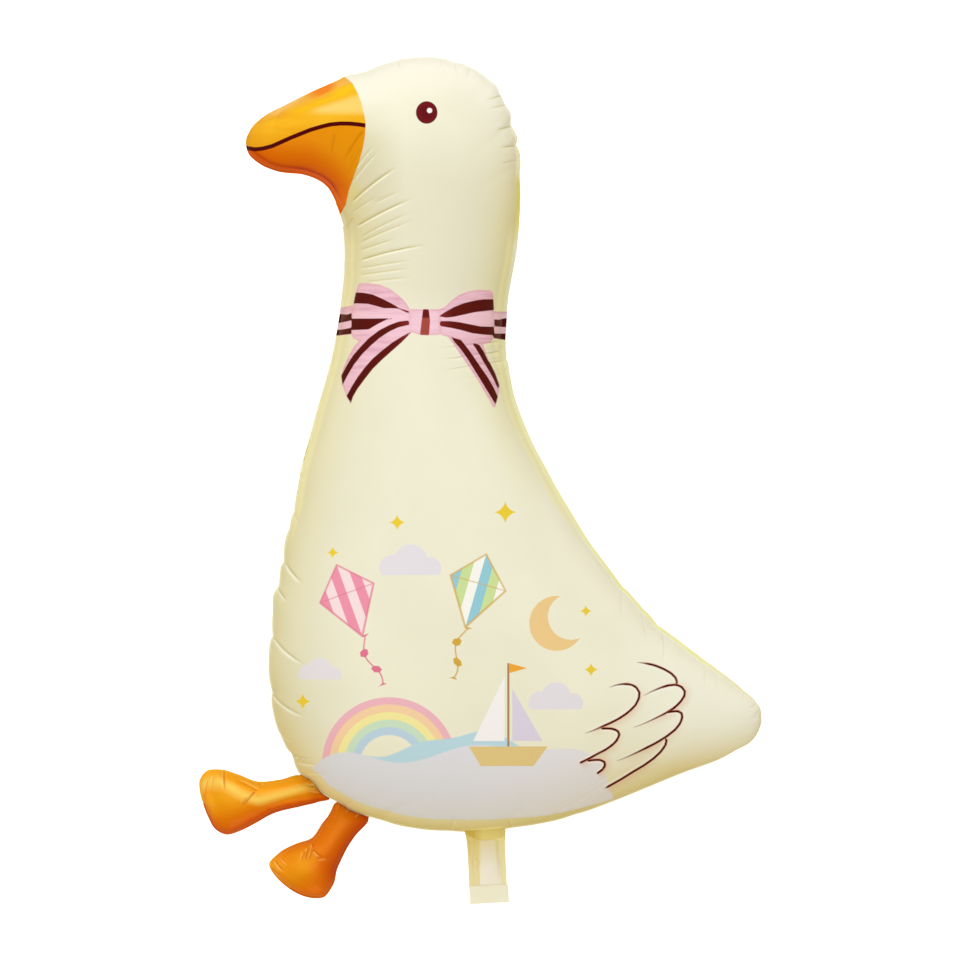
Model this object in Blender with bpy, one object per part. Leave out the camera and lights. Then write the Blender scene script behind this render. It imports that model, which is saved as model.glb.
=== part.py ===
"""A goose foil balloon, filled and lying on its back sheet.

Two goose-shaped sheets of foil are heat-sealed round their edge. Gas swells them into a
cushion that is round at the neck and flatter over the belly. A narrow flat flange stays
outside the seal, and the filler tab hangs from it below the belly. Two small orange foil
legs are sealed on behind the flange of the body.

+X points to the tail, +Y to the crown of the head and +Z out of the front sheet. The sheets
meet in a level plane, and the floor is at z = 0 under a small flat spot of the back sheet.
"""

import bmesh
import bpy
import numpy as np
from mathutils import Matrix

# Sizes in metres
HEIGHT = 0.780              # crown of the head to the end of the filler tab
FLANGE_WIDTH = 0.0035       # flat foil outside the heat seal of the body
LEG_FLANGE_WIDTH = 0.0015   # the same on the legs
FOIL = 0.0008               # two sealed sheets, thicker than real foil so that they make a solid
TAB_THICKNESS = 0.0011      # the filler tab, with the valve strip between its sheets
TAB_WIDTH = 0.0345
TAB_LENGTH = 0.067          # from the lower edge of the belly to the end
TAB_END_FLARE = 0.00125     # the unsealed end piece is wider by this on each side
TAB_END_LENGTH = 0.019
TAB_ROOT = 0.010            # how far the tab runs up between the sheets of the body
TAB_LEAN = 0.045            # sideways, towards the tail, for each metre of its length
LEG_LAP = 0.0030            # flat strip of each leg that lies behind the flange of the body
GAP = 0.0003                # between a leg's strip and the flange in front of it
HIP_CLEARANCE = 0.0005      # between the flange of the body and the filled part of a leg
FLAT_SPOT_DEPTH = 0.0080    # how far the floor flattens the back sheet

# Swell of the sheets: 1 is a round tube, and a broad cushion levels off near the limit
BODY_FULLNESS = 1.08
BODY_SWELL_LIMIT = HEIGHT / 6
LEG_FULLNESS = 0.92
LEG_SWELL_LIMIT = HEIGHT / 20

# Mesh fineness
BODY_RIBS_PER_STATION = 3
BODY_STEPS_ACROSS = 16
LEG_RIBS_PER_STATION = 2
LEG_STEPS_ACROSS = 8

# The cut edge of the goose as stations from the beak to the tail, in shares of HEIGHT:
# a point on the front edge (throat, breast, belly) and its partner on the back edge
BEAK_TIP = (-0.274, 0.901)
TAIL_TIP = (0.330, 0.205)
BODY_STATIONS = [
    (-0.270, 0.888, -0.269, 0.915),
    (-0.259, 0.877, -0.255, 0.930),
    (-0.239, 0.867, -0.229, 0.946),
    (-0.205, 0.862, -0.180, 0.967),
    (-0.183, 0.852, -0.135, 0.984),
    (-0.169, 0.834, -0.092, 0.997),
    (-0.162, 0.817, -0.050, 1.000),
    (-0.158, 0.799, -0.012, 0.990),
    (-0.157, 0.781, 0.019, 0.967),
    (-0.157, 0.760, 0.041, 0.919),
    (-0.158, 0.731, 0.049, 0.850),
    (-0.164, 0.694, 0.046, 0.780),
    (-0.174, 0.642, 0.033, 0.700),
    (-0.188, 0.593, 0.034, 0.632),
    (-0.203, 0.537, 0.058, 0.558),
    (-0.218, 0.470, 0.101, 0.476),
    (-0.234, 0.398, 0.144, 0.409),
    (-0.245, 0.328, 0.184, 0.362),
    (-0.247, 0.258, 0.220, 0.326),
    (-0.232, 0.193, 0.250, 0.302),
    (-0.187, 0.132, 0.275, 0.284),
    (-0.110, 0.098, 0.293, 0.270),
    (-0.020, 0.086, 0.306, 0.260),
    (0.072, 0.096, 0.317, 0.250),
    (0.162, 0.124, 0.326, 0.241),
    (0.242, 0.157, 0.332, 0.231),
    (0.298, 0.180, 0.334, 0.220),
]

# The legs in the same way, from the hip to the toes: upper edge, then lower edge
FRONT_HIP = (-0.192, 0.139)
FRONT_TOES = (-0.325, 0.120)
FRONT_LEG_STATIONS = [
    (-0.210, 0.153, -0.176, 0.126),
    (-0.234, 0.148, -0.207, 0.117),
    (-0.262, 0.146, -0.244, 0.107),
    (-0.283, 0.154, -0.262, 0.097),
    (-0.305, 0.160, -0.282, 0.087),
    (-0.321, 0.158, -0.297, 0.083),
    (-0.329, 0.147, -0.310, 0.089),
    (-0.329, 0.136, -0.319, 0.104),
]
REAR_HIP = (-0.148, 0.110)
REAR_TOES = (-0.223, 0.019)
REAR_LEG_STATIONS = [
    (-0.166, 0.119, -0.130, 0.102),
    (-0.179, 0.100, -0.146, 0.081),
    (-0.195, 0.079, -0.159, 0.063),
    (-0.216, 0.072, -0.168, 0.043),
    (-0.236, 0.061, -0.173, 0.023),
    (-0.247, 0.047, -0.183, 0.009),
    (-0.244, 0.040, -0.195, 0.008),
    (-0.236, 0.030, -0.208, 0.011),
]
TAB_FOOT = (0.0083, 0.086)  # where the middle of the filler tab leaves the belly

CREAM = (0.86, 0.83, 0.65)
ORANGE = (0.87, 0.36, 0.03)


def smooth_loop(corners, steps):
    """A closed curve through the corners, with a number of steps from each to the next.

    Each stretch is a cubic whose end slopes come from the two neighbours, weighted by their
    distance, so that close and far corners join without a bulge.
    """
    here = np.asarray(corners, float)
    ahead = np.roll(here, -1, axis=0)
    span_ahead = np.linalg.norm(ahead - here, axis=1)[:, None]
    span_behind = np.roll(span_ahead, 1, axis=0)
    slope_ahead = (ahead - here) / span_ahead
    slope_behind = np.roll(slope_ahead, 1, axis=0)
    slope = (slope_ahead * span_behind + slope_behind * span_ahead) / (span_ahead + span_behind)
    t = (np.arange(steps) / steps)[None, :, None]
    start = here[:, None]
    end = ahead[:, None]
    pull_out = (slope * span_ahead)[:, None]
    pull_in = (np.roll(slope, -1, axis=0) * span_ahead)[:, None]
    curve = (
        (1 + 2 * t) * (1 - t) ** 2 * start
        + t * (1 - t) ** 2 * pull_out
        + t ** 2 * (3 - 2 * t) * end
        + t ** 2 * (t - 1) * pull_in
    )
    return curve.reshape(-1, 2)


def cut_edge(first_tip, stations, last_tip, steps):
    """The cut edge in metres: down the first side of the stations and back up the other."""
    table = np.array(stations)
    corners = [first_tip, *table[:, :2], last_tip, *table[::-1, 2:]]
    return smooth_loop(np.array(corners) * HEIGHT, steps)


def outward(loop):
    """Unit normals of a closed curve that runs anticlockwise."""
    along = np.roll(loop, -1, axis=0) - np.roll(loop, 1, axis=0)
    along /= np.linalg.norm(along, axis=1)[:, None]
    return np.stack([along[:, 1], -along[:, 0]], axis=1)


def rib_grid(seal, steps_across, blunt_start):
    """Points on ribs that join the two sides of the sealed edge.

    The edge runs down the first side to the last tip and back up the other side. It starts at
    a tip, or with the points inside a blunt end, which are then the first rib. Every other
    rib is straight. Returns the points, the faces and the indices of the edge in its order.
    """
    start = steps_across - 1 if blunt_start else 1
    ribs = (len(seal) - start - 1) // 2
    first_side = seal[start : start + ribs]
    last_tip = seal[start + ribs]
    other_side = seal[: start + ribs : -1]
    share = (1 - np.cos(np.pi * np.arange(steps_across + 1) / steps_across)) / 2
    nodes = first_side[:, None] + (other_side - first_side)[:, None] * share[None, :, None]
    if blunt_start:
        nodes[0, 1:-1] = seal[:start][::-1]
    points = np.concatenate([nodes.reshape(-1, 2), [last_tip], seal[: 0 if blunt_start else 1]])

    index = np.arange(ribs * (steps_across + 1)).reshape(ribs, steps_across + 1)
    last = index.size
    faces = []
    for k in range(steps_across):
        if not blunt_start:
            faces.append((last + 1, index[0, k], index[0, k + 1]))
        for rib in range(ribs - 1):
            faces.append((index[rib, k], index[rib + 1, k], index[rib + 1, k + 1], index[rib, k + 1]))
        faces.append((index[-1, k], last, index[-1, k + 1]))
    start_rim = index[0, -2:0:-1] if blunt_start else [last + 1]
    rim = np.concatenate([start_rim, index[:, 0], [last], index[::-1, -1]])
    return points, faces, rim


def membrane(points, faces, rim):
    """Solve for the even-pressure cushion: the surface u with a slope change of -2 all over
    and u = 0 on the rim. Over a long strip the root of u is a half circle.

    Each side of a triangle carries the cotangent of the angle that faces it.
    """
    triangles = np.array([(f[0], f[k], f[k + 1]) for f in faces for k in range(1, len(f) - 1)])
    count = len(points)
    stiffness = np.zeros((count, count))
    load = np.zeros(count)
    for turn in range(3):
        a, b, c = (triangles[:, (turn + k) % 3] for k in range(3))
        to_b = points[b] - points[a]
        to_c = points[c] - points[a]
        twice_area = np.abs(to_b[:, 0] * to_c[:, 1] - to_b[:, 1] * to_c[:, 0])
        half_cotangent = np.sum(to_b * to_c, axis=1) / twice_area / 2
        np.add.at(stiffness, (b, b), half_cotangent)
        np.add.at(stiffness, (c, c), half_cotangent)
        np.add.at(stiffness, (b, c), -half_cotangent)
        np.add.at(stiffness, (c, b), -half_cotangent)
        np.add.at(load, a, twice_area / 3)
    free = np.setdiff1d(np.arange(count), rim)
    u = np.zeros(count)
    u[free] = np.linalg.solve(stiffness[np.ix_(free, free)], load[free])
    return u


def swell(u, fullness, limit):
    """Height of one sheet above the seal, levelling off towards the limit."""
    return limit * np.tanh(fullness * np.sqrt(np.maximum(u, 0)) / limit)


def balloon_mesh(name, edge, seal, steps_across, fullness, limit, blunt_start=False, flat_spot=0):
    """A closed mesh of two swollen sheets and the flat flange round them, about z = 0.

    The flange lies between the seal and the cut edge. A flat spot, if there is one, is pressed
    into the deepest part of the back sheet.
    """
    points, faces, rim = rib_grid(seal, steps_across, blunt_start)
    height = FOIL / 2 + swell(membrane(points, faces, rim), fullness, limit)
    depth = np.minimum(height, height.max() - flat_spot)
    count = len(points)
    corners = len(edge)
    vertices = np.concatenate([
        np.column_stack([points, height]),
        np.column_stack([points, -depth]),
        np.column_stack([edge, np.full(corners, FOIL / 2)]),
        np.column_stack([edge, np.full(corners, -FOIL / 2)]),
    ])

    back_faces = [tuple(corner + count for corner in reversed(face)) for face in faces]
    front_edge = 2 * count + np.arange(corners)
    back_edge = front_edge + corners
    flange_faces = []
    for here in range(corners):
        there = (here + 1) % corners
        seal_here, seal_there = rim[here], rim[there]
        flange_faces += [
            (seal_here, front_edge[here], front_edge[there], seal_there),
            (front_edge[here], back_edge[here], back_edge[there], front_edge[there]),
            (back_edge[here], seal_here + count, seal_there + count, back_edge[there]),
        ]
    mesh = bpy.data.meshes.new(name)
    mesh.from_pydata(vertices.tolist(), [], [[int(v) for v in f] for f in faces + back_faces + flange_faces])
    return mesh


def edge_places(loop, first, last, inset, count):
    """Evenly spaced places on a closed curve between those nearest to two points.

    The inset keeps the outer places short of the two points. Returns the places and the
    outward normals there. The start of the curve doesn't lie between the points.
    """
    step = np.diff(loop, axis=0)
    length = np.linalg.norm(step, axis=1)
    travelled = np.concatenate([[0], np.cumsum(length)])
    ends = []
    for point in (first, last):
        share = np.clip(np.sum((point - loop[:-1]) * step, axis=1) / length ** 2, 0, 1)
        spots = loop[:-1] + step * share[:, None]
        nearest = np.argmin(np.linalg.norm(spots - point, axis=1))
        ends.append(travelled[nearest] + share[nearest] * length[nearest])
    inward = np.sign(ends[1] - ends[0]) * inset
    stops = np.linspace(ends[0] + inward, ends[1] - inward, count)
    normals = outward(loop)
    places = [np.interp(stops, travelled, loop[:, axis]) for axis in (0, 1)]
    directions = [np.interp(stops, travelled, normals[:, axis]) for axis in (0, 1)]
    return np.stack(places, axis=1), np.stack(directions, axis=1)


def leg_edges(hip, stations, toes, body_edge):
    """The cut edge and the seal of a leg, whose blunt hip end follows the edge of the body.

    There the strip outside the seal laps behind the flange of the body.
    """
    steps = LEG_RIBS_PER_STATION
    loop = cut_edge(hip, stations, toes, steps)
    sides = slice(steps, len(loop) - steps + 1)
    edge = loop[sides]
    seal = (loop - outward(loop) * LEG_FLANGE_WIDTH)[sides]
    corners = (body_edge, edge[-1], edge[0])
    hip_points = LEG_STEPS_ACROSS + 1
    places, directions = edge_places(*corners, 0, hip_points)
    hip_edge = places - directions * LEG_LAP
    places, directions = edge_places(*corners, LEG_FLANGE_WIDTH, hip_points)
    hip_seal = places + directions * HIP_CLEARANCE
    edge = np.concatenate([hip_edge[1:], edge[1:-1], hip_edge[:1]])
    seal = np.concatenate([hip_seal[1:], seal[1:-1], hip_seal[:1]])
    return edge, seal


def tab_outline():
    """The filler tab: a strip with a slightly wider end piece, leaning by TAB_LEAN."""
    foot_x = TAB_FOOT[0] * HEIGHT
    foot_y = TAB_FOOT[1] * HEIGHT
    shoulder = TAB_LENGTH - TAB_END_LENGTH
    half_width = TAB_WIDTH / 2
    half_end = half_width + TAB_END_FLARE
    right_side = [
        (half_width, -TAB_ROOT),
        (half_width, shoulder),
        (half_end, shoulder),
        (half_end, TAB_LENGTH),
    ]
    left_side = [(-across, down) for across, down in reversed(right_side)]
    return [(foot_x + across + TAB_LEAN * down, foot_y - down) for across, down in right_side + left_side]


def flat_plate(name, outline, thickness, collection):
    """A plate of one thickness from a 2D curve, with the curve's loose caps welded on."""
    curve = bpy.data.curves.new(name, "CURVE")
    curve.dimensions = "2D"
    curve.fill_mode = "BOTH"
    curve.extrude = thickness / 2
    spline = curve.splines.new("POLY")
    spline.points.add(len(outline) - 1)
    for point, (x, y) in zip(spline.points, outline):
        point.co = (x, y, 0, 1)
    spline.use_cyclic_u = True
    drawn = bpy.data.objects.new(name, curve)
    collection.objects.link(drawn)
    bpy.context.view_layer.update()
    mesh = bpy.data.meshes.new_from_object(drawn.evaluated_get(bpy.context.evaluated_depsgraph_get()))
    bpy.data.objects.remove(drawn)
    plate = bmesh.new()
    plate.from_mesh(mesh)
    bmesh.ops.remove_doubles(plate, verts=plate.verts, dist=0.00001)
    bmesh.ops.recalc_face_normals(plate, faces=plate.faces)
    plate.to_mesh(mesh)
    plate.free()
    return mesh


def printed_foil(name, colour, roughness):
    """A satin printed foil: a Principled BSDF with a little metal under the ink."""
    material = bpy.data.materials.new(name)
    material.use_nodes = True
    shader = material.node_tree.nodes["Principled BSDF"]
    shader.inputs["Base Color"].default_value = (*colour, 1)
    shader.inputs["Roughness"].default_value = roughness
    shader.inputs["Metallic"].default_value = 0.15
    return material


def piece(name, mesh, shift, material, collection):
    """An object from a mesh, which is moved so that the balloon stands centred on the floor."""
    mesh.transform(Matrix.Translation(shift))
    mesh.materials.append(material)
    mesh.shade_smooth()
    made = bpy.data.objects.new(name, mesh)
    collection.objects.link(made)
    return made


def main():
    for old in list(bpy.data.objects):
        bpy.data.objects.remove(old)
    balloon = bpy.data.collections.new("goose_foil_balloon")
    cutters = bpy.data.collections.new("goose_foil_balloon_cutters")
    bpy.context.scene.collection.children.link(balloon)
    bpy.context.scene.collection.children.link(cutters)
    cream_foil = printed_foil("cream_foil", CREAM, 0.35)
    orange_foil = printed_foil("orange_foil", ORANGE, 0.25)

    # Outlines first, because the middle of the whole balloon comes from all of them
    body_edge = cut_edge(BEAK_TIP, BODY_STATIONS, TAIL_TIP, BODY_RIBS_PER_STATION)
    body_seal = body_edge - outward(body_edge) * FLANGE_WIDTH
    legs = {
        "front_leg": leg_edges(FRONT_HIP, FRONT_LEG_STATIONS, FRONT_TOES, body_edge),
        "rear_leg": leg_edges(REAR_HIP, REAR_LEG_STATIONS, REAR_TOES, body_edge),
    }
    tab = np.array(tab_outline())
    everything = np.concatenate([body_edge, tab] + [edge for edge, _ in legs.values()])
    middle = (everything.min(axis=0) + everything.max(axis=0)) / 2

    body_mesh = balloon_mesh(
        "balloon_body", body_edge, body_seal, BODY_STEPS_ACROSS,
        BODY_FULLNESS, BODY_SWELL_LIMIT, flat_spot=FLAT_SPOT_DEPTH,
    )
    rest_height = -min(vertex.co.z for vertex in body_mesh.vertices)
    shift = (-middle[0], -middle[1], rest_height)
    body = piece("balloon_body", body_mesh, shift, cream_foil, balloon)

    tab_mesh = flat_plate("filler_tab", tab, TAB_THICKNESS, cutters)
    filler_tab = piece("filler_tab", tab_mesh, shift, cream_foil, cutters)
    filler_tab.hide_render = True
    filler_tab.display_type = "WIRE"
    join = body.modifiers.new("filler_tab", "BOOLEAN")
    join.operation = "UNION"
    join.object = filler_tab

    behind_flange = (shift[0], shift[1], rest_height - FOIL - GAP)
    for name, (edge, seal) in legs.items():
        mesh = balloon_mesh(
            name, edge, seal, LEG_STEPS_ACROSS, LEG_FULLNESS, LEG_SWELL_LIMIT, blunt_start=True,
        )
        piece(name, mesh, behind_flange, orange_foil, balloon)


main()
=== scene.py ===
"""The looks of a goose foil balloon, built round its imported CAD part.

The balloon lies on its back sheet. +X points to the tail, +Y to the crown of the head and
+Z out of the front sheet, towards the camera. Lengths are in metres, and in millimetres in
the tables of folds and printed shapes and in the materials that read them.
"""

import math
from functools import partialmethod

import bpy
import numpy as np
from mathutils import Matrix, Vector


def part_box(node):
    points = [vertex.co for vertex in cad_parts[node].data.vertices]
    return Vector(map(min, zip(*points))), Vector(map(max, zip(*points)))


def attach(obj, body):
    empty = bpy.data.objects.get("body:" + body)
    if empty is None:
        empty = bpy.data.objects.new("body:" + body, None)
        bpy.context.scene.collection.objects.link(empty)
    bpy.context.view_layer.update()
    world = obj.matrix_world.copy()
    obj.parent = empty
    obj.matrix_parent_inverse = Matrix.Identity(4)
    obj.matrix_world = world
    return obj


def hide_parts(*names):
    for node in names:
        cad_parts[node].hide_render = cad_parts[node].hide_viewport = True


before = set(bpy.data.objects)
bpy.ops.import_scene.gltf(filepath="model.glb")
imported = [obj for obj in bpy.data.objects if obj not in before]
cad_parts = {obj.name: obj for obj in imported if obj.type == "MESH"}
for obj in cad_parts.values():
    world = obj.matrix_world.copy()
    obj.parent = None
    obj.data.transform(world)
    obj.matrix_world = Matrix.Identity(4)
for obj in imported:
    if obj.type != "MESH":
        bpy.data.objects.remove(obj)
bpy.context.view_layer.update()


# The goose-shaped body
#
# Two sheets of satin cream foil, heat-sealed round their edge with a narrow flat flange left
# outside the seal. Gas swells them into a cushion with puckers along the seal and deeper
# folds under the chin, behind the head and along the breast.

HEIGHT = 0.780
FLANGE_WIDTH = 0.0035
NARROW_FLANGE = 0.4
FOIL = 0.0008
BODY_FULLNESS = 1.08
BODY_SWELL_LIMIT = HEIGHT / 6
FLAT_SPOT_DEPTH = 0.0080
FLAT_SPOT_BLEND = 0.0025
BODY_STEPS_PER_STATION = 24
BODY_RIBS = 640
FRONT_STEPS = 84
BACK_STEPS = 50
MEMBRANE_ROUNDS = 3000
MEMBRANE_REST = 1e-16

# Puckers: their spacing, depth and reach. No dent comes within the calm strip by the seal.
FINE_PUCKERS = (0.0085, 0.0011, 0.013)
BROAD_PUCKERS = (0.026, 0.0016, 0.020)
BODY_CALM = 0.002
# How strongly the puckers bulge where the seal runs straight, and the turn of the seal, in
# radians per metre over a window, at which they bulge in full
LEAST_BULGE = 0.15
FULL_TURN = 9
BEND_WINDOW = 0.030
# How far a fold draws in the edge, in depths, and how far above and below, in half widths
PINCH = 2
PINCH_ABOVE = 2.6
PINCH_BELOW = 0.9
NO_CREASE = 99.0

# The cut edge from beak to tail in shares of the height: front edge x, y, then back edge x, y
BEAK_TIP = (-0.274, 0.901)
TAIL_TIP = (0.330, 0.205)
BODY_STATIONS = [
    (-0.27, 0.888, -0.269, 0.915), (-0.259, 0.877, -0.255, 0.93), (-0.239, 0.867, -0.229, 0.946),
    (-0.205, 0.862, -0.18, 0.967), (-0.183, 0.852, -0.135, 0.984), (-0.169, 0.834, -0.092, 0.997),
    (-0.162, 0.817, -0.05, 1.0), (-0.158, 0.799, -0.012, 0.99), (-0.157, 0.781, 0.019, 0.967),
    (-0.157, 0.76, 0.041, 0.919), (-0.158, 0.731, 0.049, 0.85), (-0.164, 0.694, 0.046, 0.78),
    (-0.174, 0.642, 0.033, 0.7), (-0.188, 0.593, 0.034, 0.632), (-0.203, 0.537, 0.058, 0.558),
    (-0.218, 0.47, 0.101, 0.476), (-0.234, 0.398, 0.144, 0.409), (-0.245, 0.328, 0.184, 0.362),
    (-0.247, 0.258, 0.22, 0.326), (-0.232, 0.193, 0.25, 0.302), (-0.187, 0.132, 0.275, 0.284),
    (-0.11, 0.098, 0.293, 0.27), (-0.02, 0.086, 0.306, 0.26), (0.072, 0.096, 0.317, 0.25),
    (0.162, 0.124, 0.326, 0.241), (0.242, 0.157, 0.332, 0.231), (0.298, 0.18, 0.334, 0.22),
]

# Where the filled foil's edge lies outside or inside of the cut sheets' smooth curve: x, y,
# how far out and how wide the change is, in mm
EDGE_TOUCHES = [
    (-209.2, 300.6, 1.7, 11), (-197.2, 288.6, 1.2, 12), (-173.3, 281.3, 1.2, 15),
    (-147.5, 275.8, 0.7, 13), (-131.9, 260.1, 1, 9), (-126.4, 247.2, 1.7, 15),
    (-124.6, 230.7, 0.8, 16), (-127.3, 172.7, 1.1, 13), (-122.7, 201.3, 1.2, 28),
    (-162.3, 13.6, 0.8, 20), (-186.2, -106.9, 2.3, 9), (-177.9, -56.3, 1.1, 14),
    (-181.6, -239.3, -1.1, 7), (-174.2, -252.2, -1.5, 6), (-165.9, -266.9, 1.5, 6),
    (-154.9, -278.9, -3.3, 9), (-134.7, -293.6, -1.5, 11), (255.3, -207.1, 0.9, 13),
    (246.1, -241.2, 1.1, 9), (26.3, 102.8, 1.3, 20), (60.3, 12.7, 0.8, 22), (87, -31.5, 0.7, 22),
    (111.8, -72.8, 0.8, 18), (27.2, 129.5, 0.9, 39), (167, -133.6, -0.9, 13),
    (89.8, -305.6, 1, 31), (206.6, -260.5, 0.8, 35), (27.7, 337.4, 2, 6), (33.2, 314.4, 2.1, 6),
    (36.9, 300.6, 2, 6), (36.9, 292.3, 1.5, 7), (15.3, 363.1, 1.5, 8), (-23.4, 387.1, -1.1, 6),
    (-72.1, 387.1, 0.8, 6), (-105.2, 376.9, -1.1, 7), (-122.7, 370.5, 1.1, 7),
    (-177, 348.4, -2.1, 27),
]

# Folds of the body, in mm: x, y at the seal, x, y at the inner end, depth, half width and bow
BODY_FOLDS = [
    (-115.4, 284, -94.2, 309.8, 0.9, 2.0, -1), (-117.2, 273.9, -90.5, 304.3, 1.0, 2.2, -1),
    (-118.1, 255.5, -73, 288.6, 2.1, 3.4, -1.5), (-96, 254.6, -72.1, 265.6, 0.8, 2.6, 0),
    (-119, 245.4, -88.7, 263.8, 0.7, 2.6, 0), (-113.5, 233.4, -59.2, 259.2, 2.2, 3.8, -1),
    (-109.8, 223.3, -58.3, 247.2, 0.9, 2.6, -1), (-110.8, 217.8, -57.4, 239, 1.0, 2.6, -1),
    (-109.8, 211.4, -74, 222.4, 0.9, 2.6, 0), (-109.8, 202.2, -44.5, 216, 1.7, 3.2, -1.5),
    (-109.8, 194.8, -59.2, 202.2, 0.9, 2.6, 0), (-110.8, 188.4, -59.2, 194.8, 0.9, 2.6, 0),
    (-105.2, 181.9, -59.2, 186.5, 0.8, 2.6, 0), (22.6, 355.8, 5.1, 348.4, 1.1, 2.8, 0),
    (26.3, 346.6, 7, 340.1, 0.8, 2.6, 0), (31.8, 327.3, 12.5, 319.9, 1.3, 3.2, 0),
    (35.5, 308.9, 16.2, 304.3, 1.2, 2.8, 0), (34.6, 295.1, 16.2, 289.6, 0.8, 2.4, 0),
    (-9.6, 381.5, -13.3, 365, 0.4, 2.4, 0), (-23.4, 387.1, -21.5, 366.8, 0.35, 2.4, 0),
    (-37.2, 388.9, -35.3, 376, 0.3, 2.2, 0), (-75.8, 384.3, -72.1, 374.2, 0.3, 2.2, 0),
    (18, 127.7, -42.7, 120.3, 1.3, 2.6, 0), (18, 118.5, -42.7, 109.3, 1.6, 2.8, 0),
    (21.7, 110.2, -42.7, 99.2, 1.3, 2.6, 0), (20.8, 98.2, -20.6, 92.7, 0.7, 2.4, 0),
    (-178.8, -75.6, -160.4, -94.9, 1.9, 3.2, 1.6), (-186.2, -97.7, -177, -110.6, 1.6, 3.2, 0.8),
    (-189.9, -143.7, -157.7, -168.5, 1.8, 3.4, 3), (-190.8, -196.1, -157.7, -215.4, 1.8, 3.4, 3.4),
    (-181.6, -234.7, -169.6, -240.3, 0.5, 2.6, 0), (-171.5, -252.2, -153.1, -254.1, 1.3, 2.6, 0.8),
    (-168.7, -257.7, -145.7, -259.6, 1.1, 2.6, 0.6), (-160.4, -267.8, -138.3, -267.8, 0.7, 2.8, 0),
    (-172.4, -28.7, -165.9, -39.7, 0.8, 2.4, 0), (-177.9, -45.3, -174.2, -52.6, 0.7, 2.4, 0),
    (130.2, -98.6, 127.5, -129.9, 0.7, 2.8, 0), (147.7, -120.7, 152.3, -151, 0.7, 2.8, 0),
    (164.3, -132.6, 166.1, -166.7, 0.8, 3.0, -3), (205.7, -167.6, 205.7, -192.4, 0.5, 2.6, 0),
    (216.7, -175.9, 216.7, -194.3, 0.4, 2.6, 0), (243.4, -192.4, 239.7, -205.3, 0.4, 2.8, 0),
    (254.4, -205.3, 246.1, -209, 0.5, 2.4, 0), (259, -217.3, 249.8, -218.2, 0.4, 2.4, 0),
    (-129.2, -301, -110.8, -289.9, 0.7, 3.2, 0), (-92.4, -315.7, -77.6, -299.1, 0.5, 3.2, 0),
    (-29.8, -326.7, -22.5, -304.6, 0.7, 3.2, 0), (31.8, -326.7, 23.5, -304.6, 0.8, 3.2, 0),
    (87, -310.2, 78.7, -295.4, 0.5, 3.0, 0), (-133.7, 317.2, -137.4, 295.1, 1.6, 2.2, 0),
    (-107.1, 319.9, -127.3, 287.7, 1.9, 2.2, 1), (-110.8, 302.4, -124.6, 273, 1.0, 2.0, 0),
]


def smooth_loop(corners, steps):
    """A closed curve through the corners, with a number of steps from each to the next. Each
    stretch is a cubic whose end slopes come from both neighbours, weighted by distance."""
    here = np.asarray(corners, float)
    ahead = np.roll(here, -1, axis=0)
    span = np.linalg.norm(ahead - here, axis=1)[:, None]
    span_behind = np.roll(span, 1, axis=0)
    slope_ahead = (ahead - here) / span
    slope_behind = np.roll(slope_ahead, 1, axis=0)
    slope = (slope_ahead * span_behind + slope_behind * span) / (span + span_behind)
    t = (np.arange(steps) / steps)[None, :, None]
    curve = (
        (1 + 2 * t) * (1 - t) ** 2 * here[:, None]
        + t * (1 - t) ** 2 * (slope * span)[:, None]
        + t ** 2 * (3 - 2 * t) * ahead[:, None]
        + t ** 2 * (t - 1) * (np.roll(slope, -1, axis=0) * span)[:, None]
    )
    return curve.reshape(-1, 2)


def cut_edge(first_tip, stations, last_tip, steps):
    """The cut edge in metres: down the first side of the stations and back up the other."""
    table = np.array(stations)
    places = [first_tip, *table[:, :2], last_tip, *table[::-1, 2:]]
    return smooth_loop(np.array(places) * HEIGHT, steps)


def outward(loop):
    """Unit normals of a closed curve that runs anticlockwise."""
    along = np.roll(loop, -1, axis=0) - np.roll(loop, 1, axis=0)
    along /= np.linalg.norm(along, axis=1)[:, None]
    return np.stack([along[:, 1], -along[:, 0]], axis=1)


def step_lengths(curve):
    """The length of each step of an open curve."""
    return np.linalg.norm(np.diff(curve, axis=0), axis=1)


def travel(lengths):
    """How far along a curve each of its points lies: running sums of its steps, from 0."""
    return np.concatenate([[0], np.cumsum(lengths)])


def taken_at(stops, travelled, columns):
    """Values of a curve at stops along it, straight between its own points."""
    return np.stack([np.interp(stops, travelled, column) for column in columns.T], axis=1)


def even_ribs(edge, seal, count):
    """Cut edge and seal taken again at rib ends, evenly spaced along whichever side is longer.
    Returns both sides of each curve, from the first tip to the last."""
    half = len(edge) // 2 + 1
    sides = []
    for curve in (edge, seal):
        sides += [curve[:half], np.roll(curve[::-1], 1, axis=0)[:half]]
    travelled = travel(np.maximum(step_lengths(sides[0]), step_lengths(sides[1])))
    stops = np.linspace(0, travelled[-1], count + 2)
    return [taken_at(stops, travelled, side) for side in sides]


def rib_points(first, other, steps_across):
    """Points (rib, step) on straight ribs, closer together near the two sides."""
    t = np.arange(steps_across + 1) / steps_across
    share = 0.5 * t + 0.5 * (1 - np.cos(np.pi * t)) / 2
    return first[:, None] + (other - first)[:, None] * share[None, :, None]


def triangle_pairs(a, b, c, d):
    """Two triangles for each face of four corners."""
    return np.concatenate([np.stack([a, b, c], axis=1), np.stack([a, c, d], axis=1)])


def grid_faces(index):
    """The triangles of a grid of indices, anticlockwise from above."""
    corner_grids = (index[:-1, :-1], index[1:, :-1], index[1:, 1:], index[:-1, 1:])
    return triangle_pairs(*(grid.ravel() for grid in corner_grids))


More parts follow.
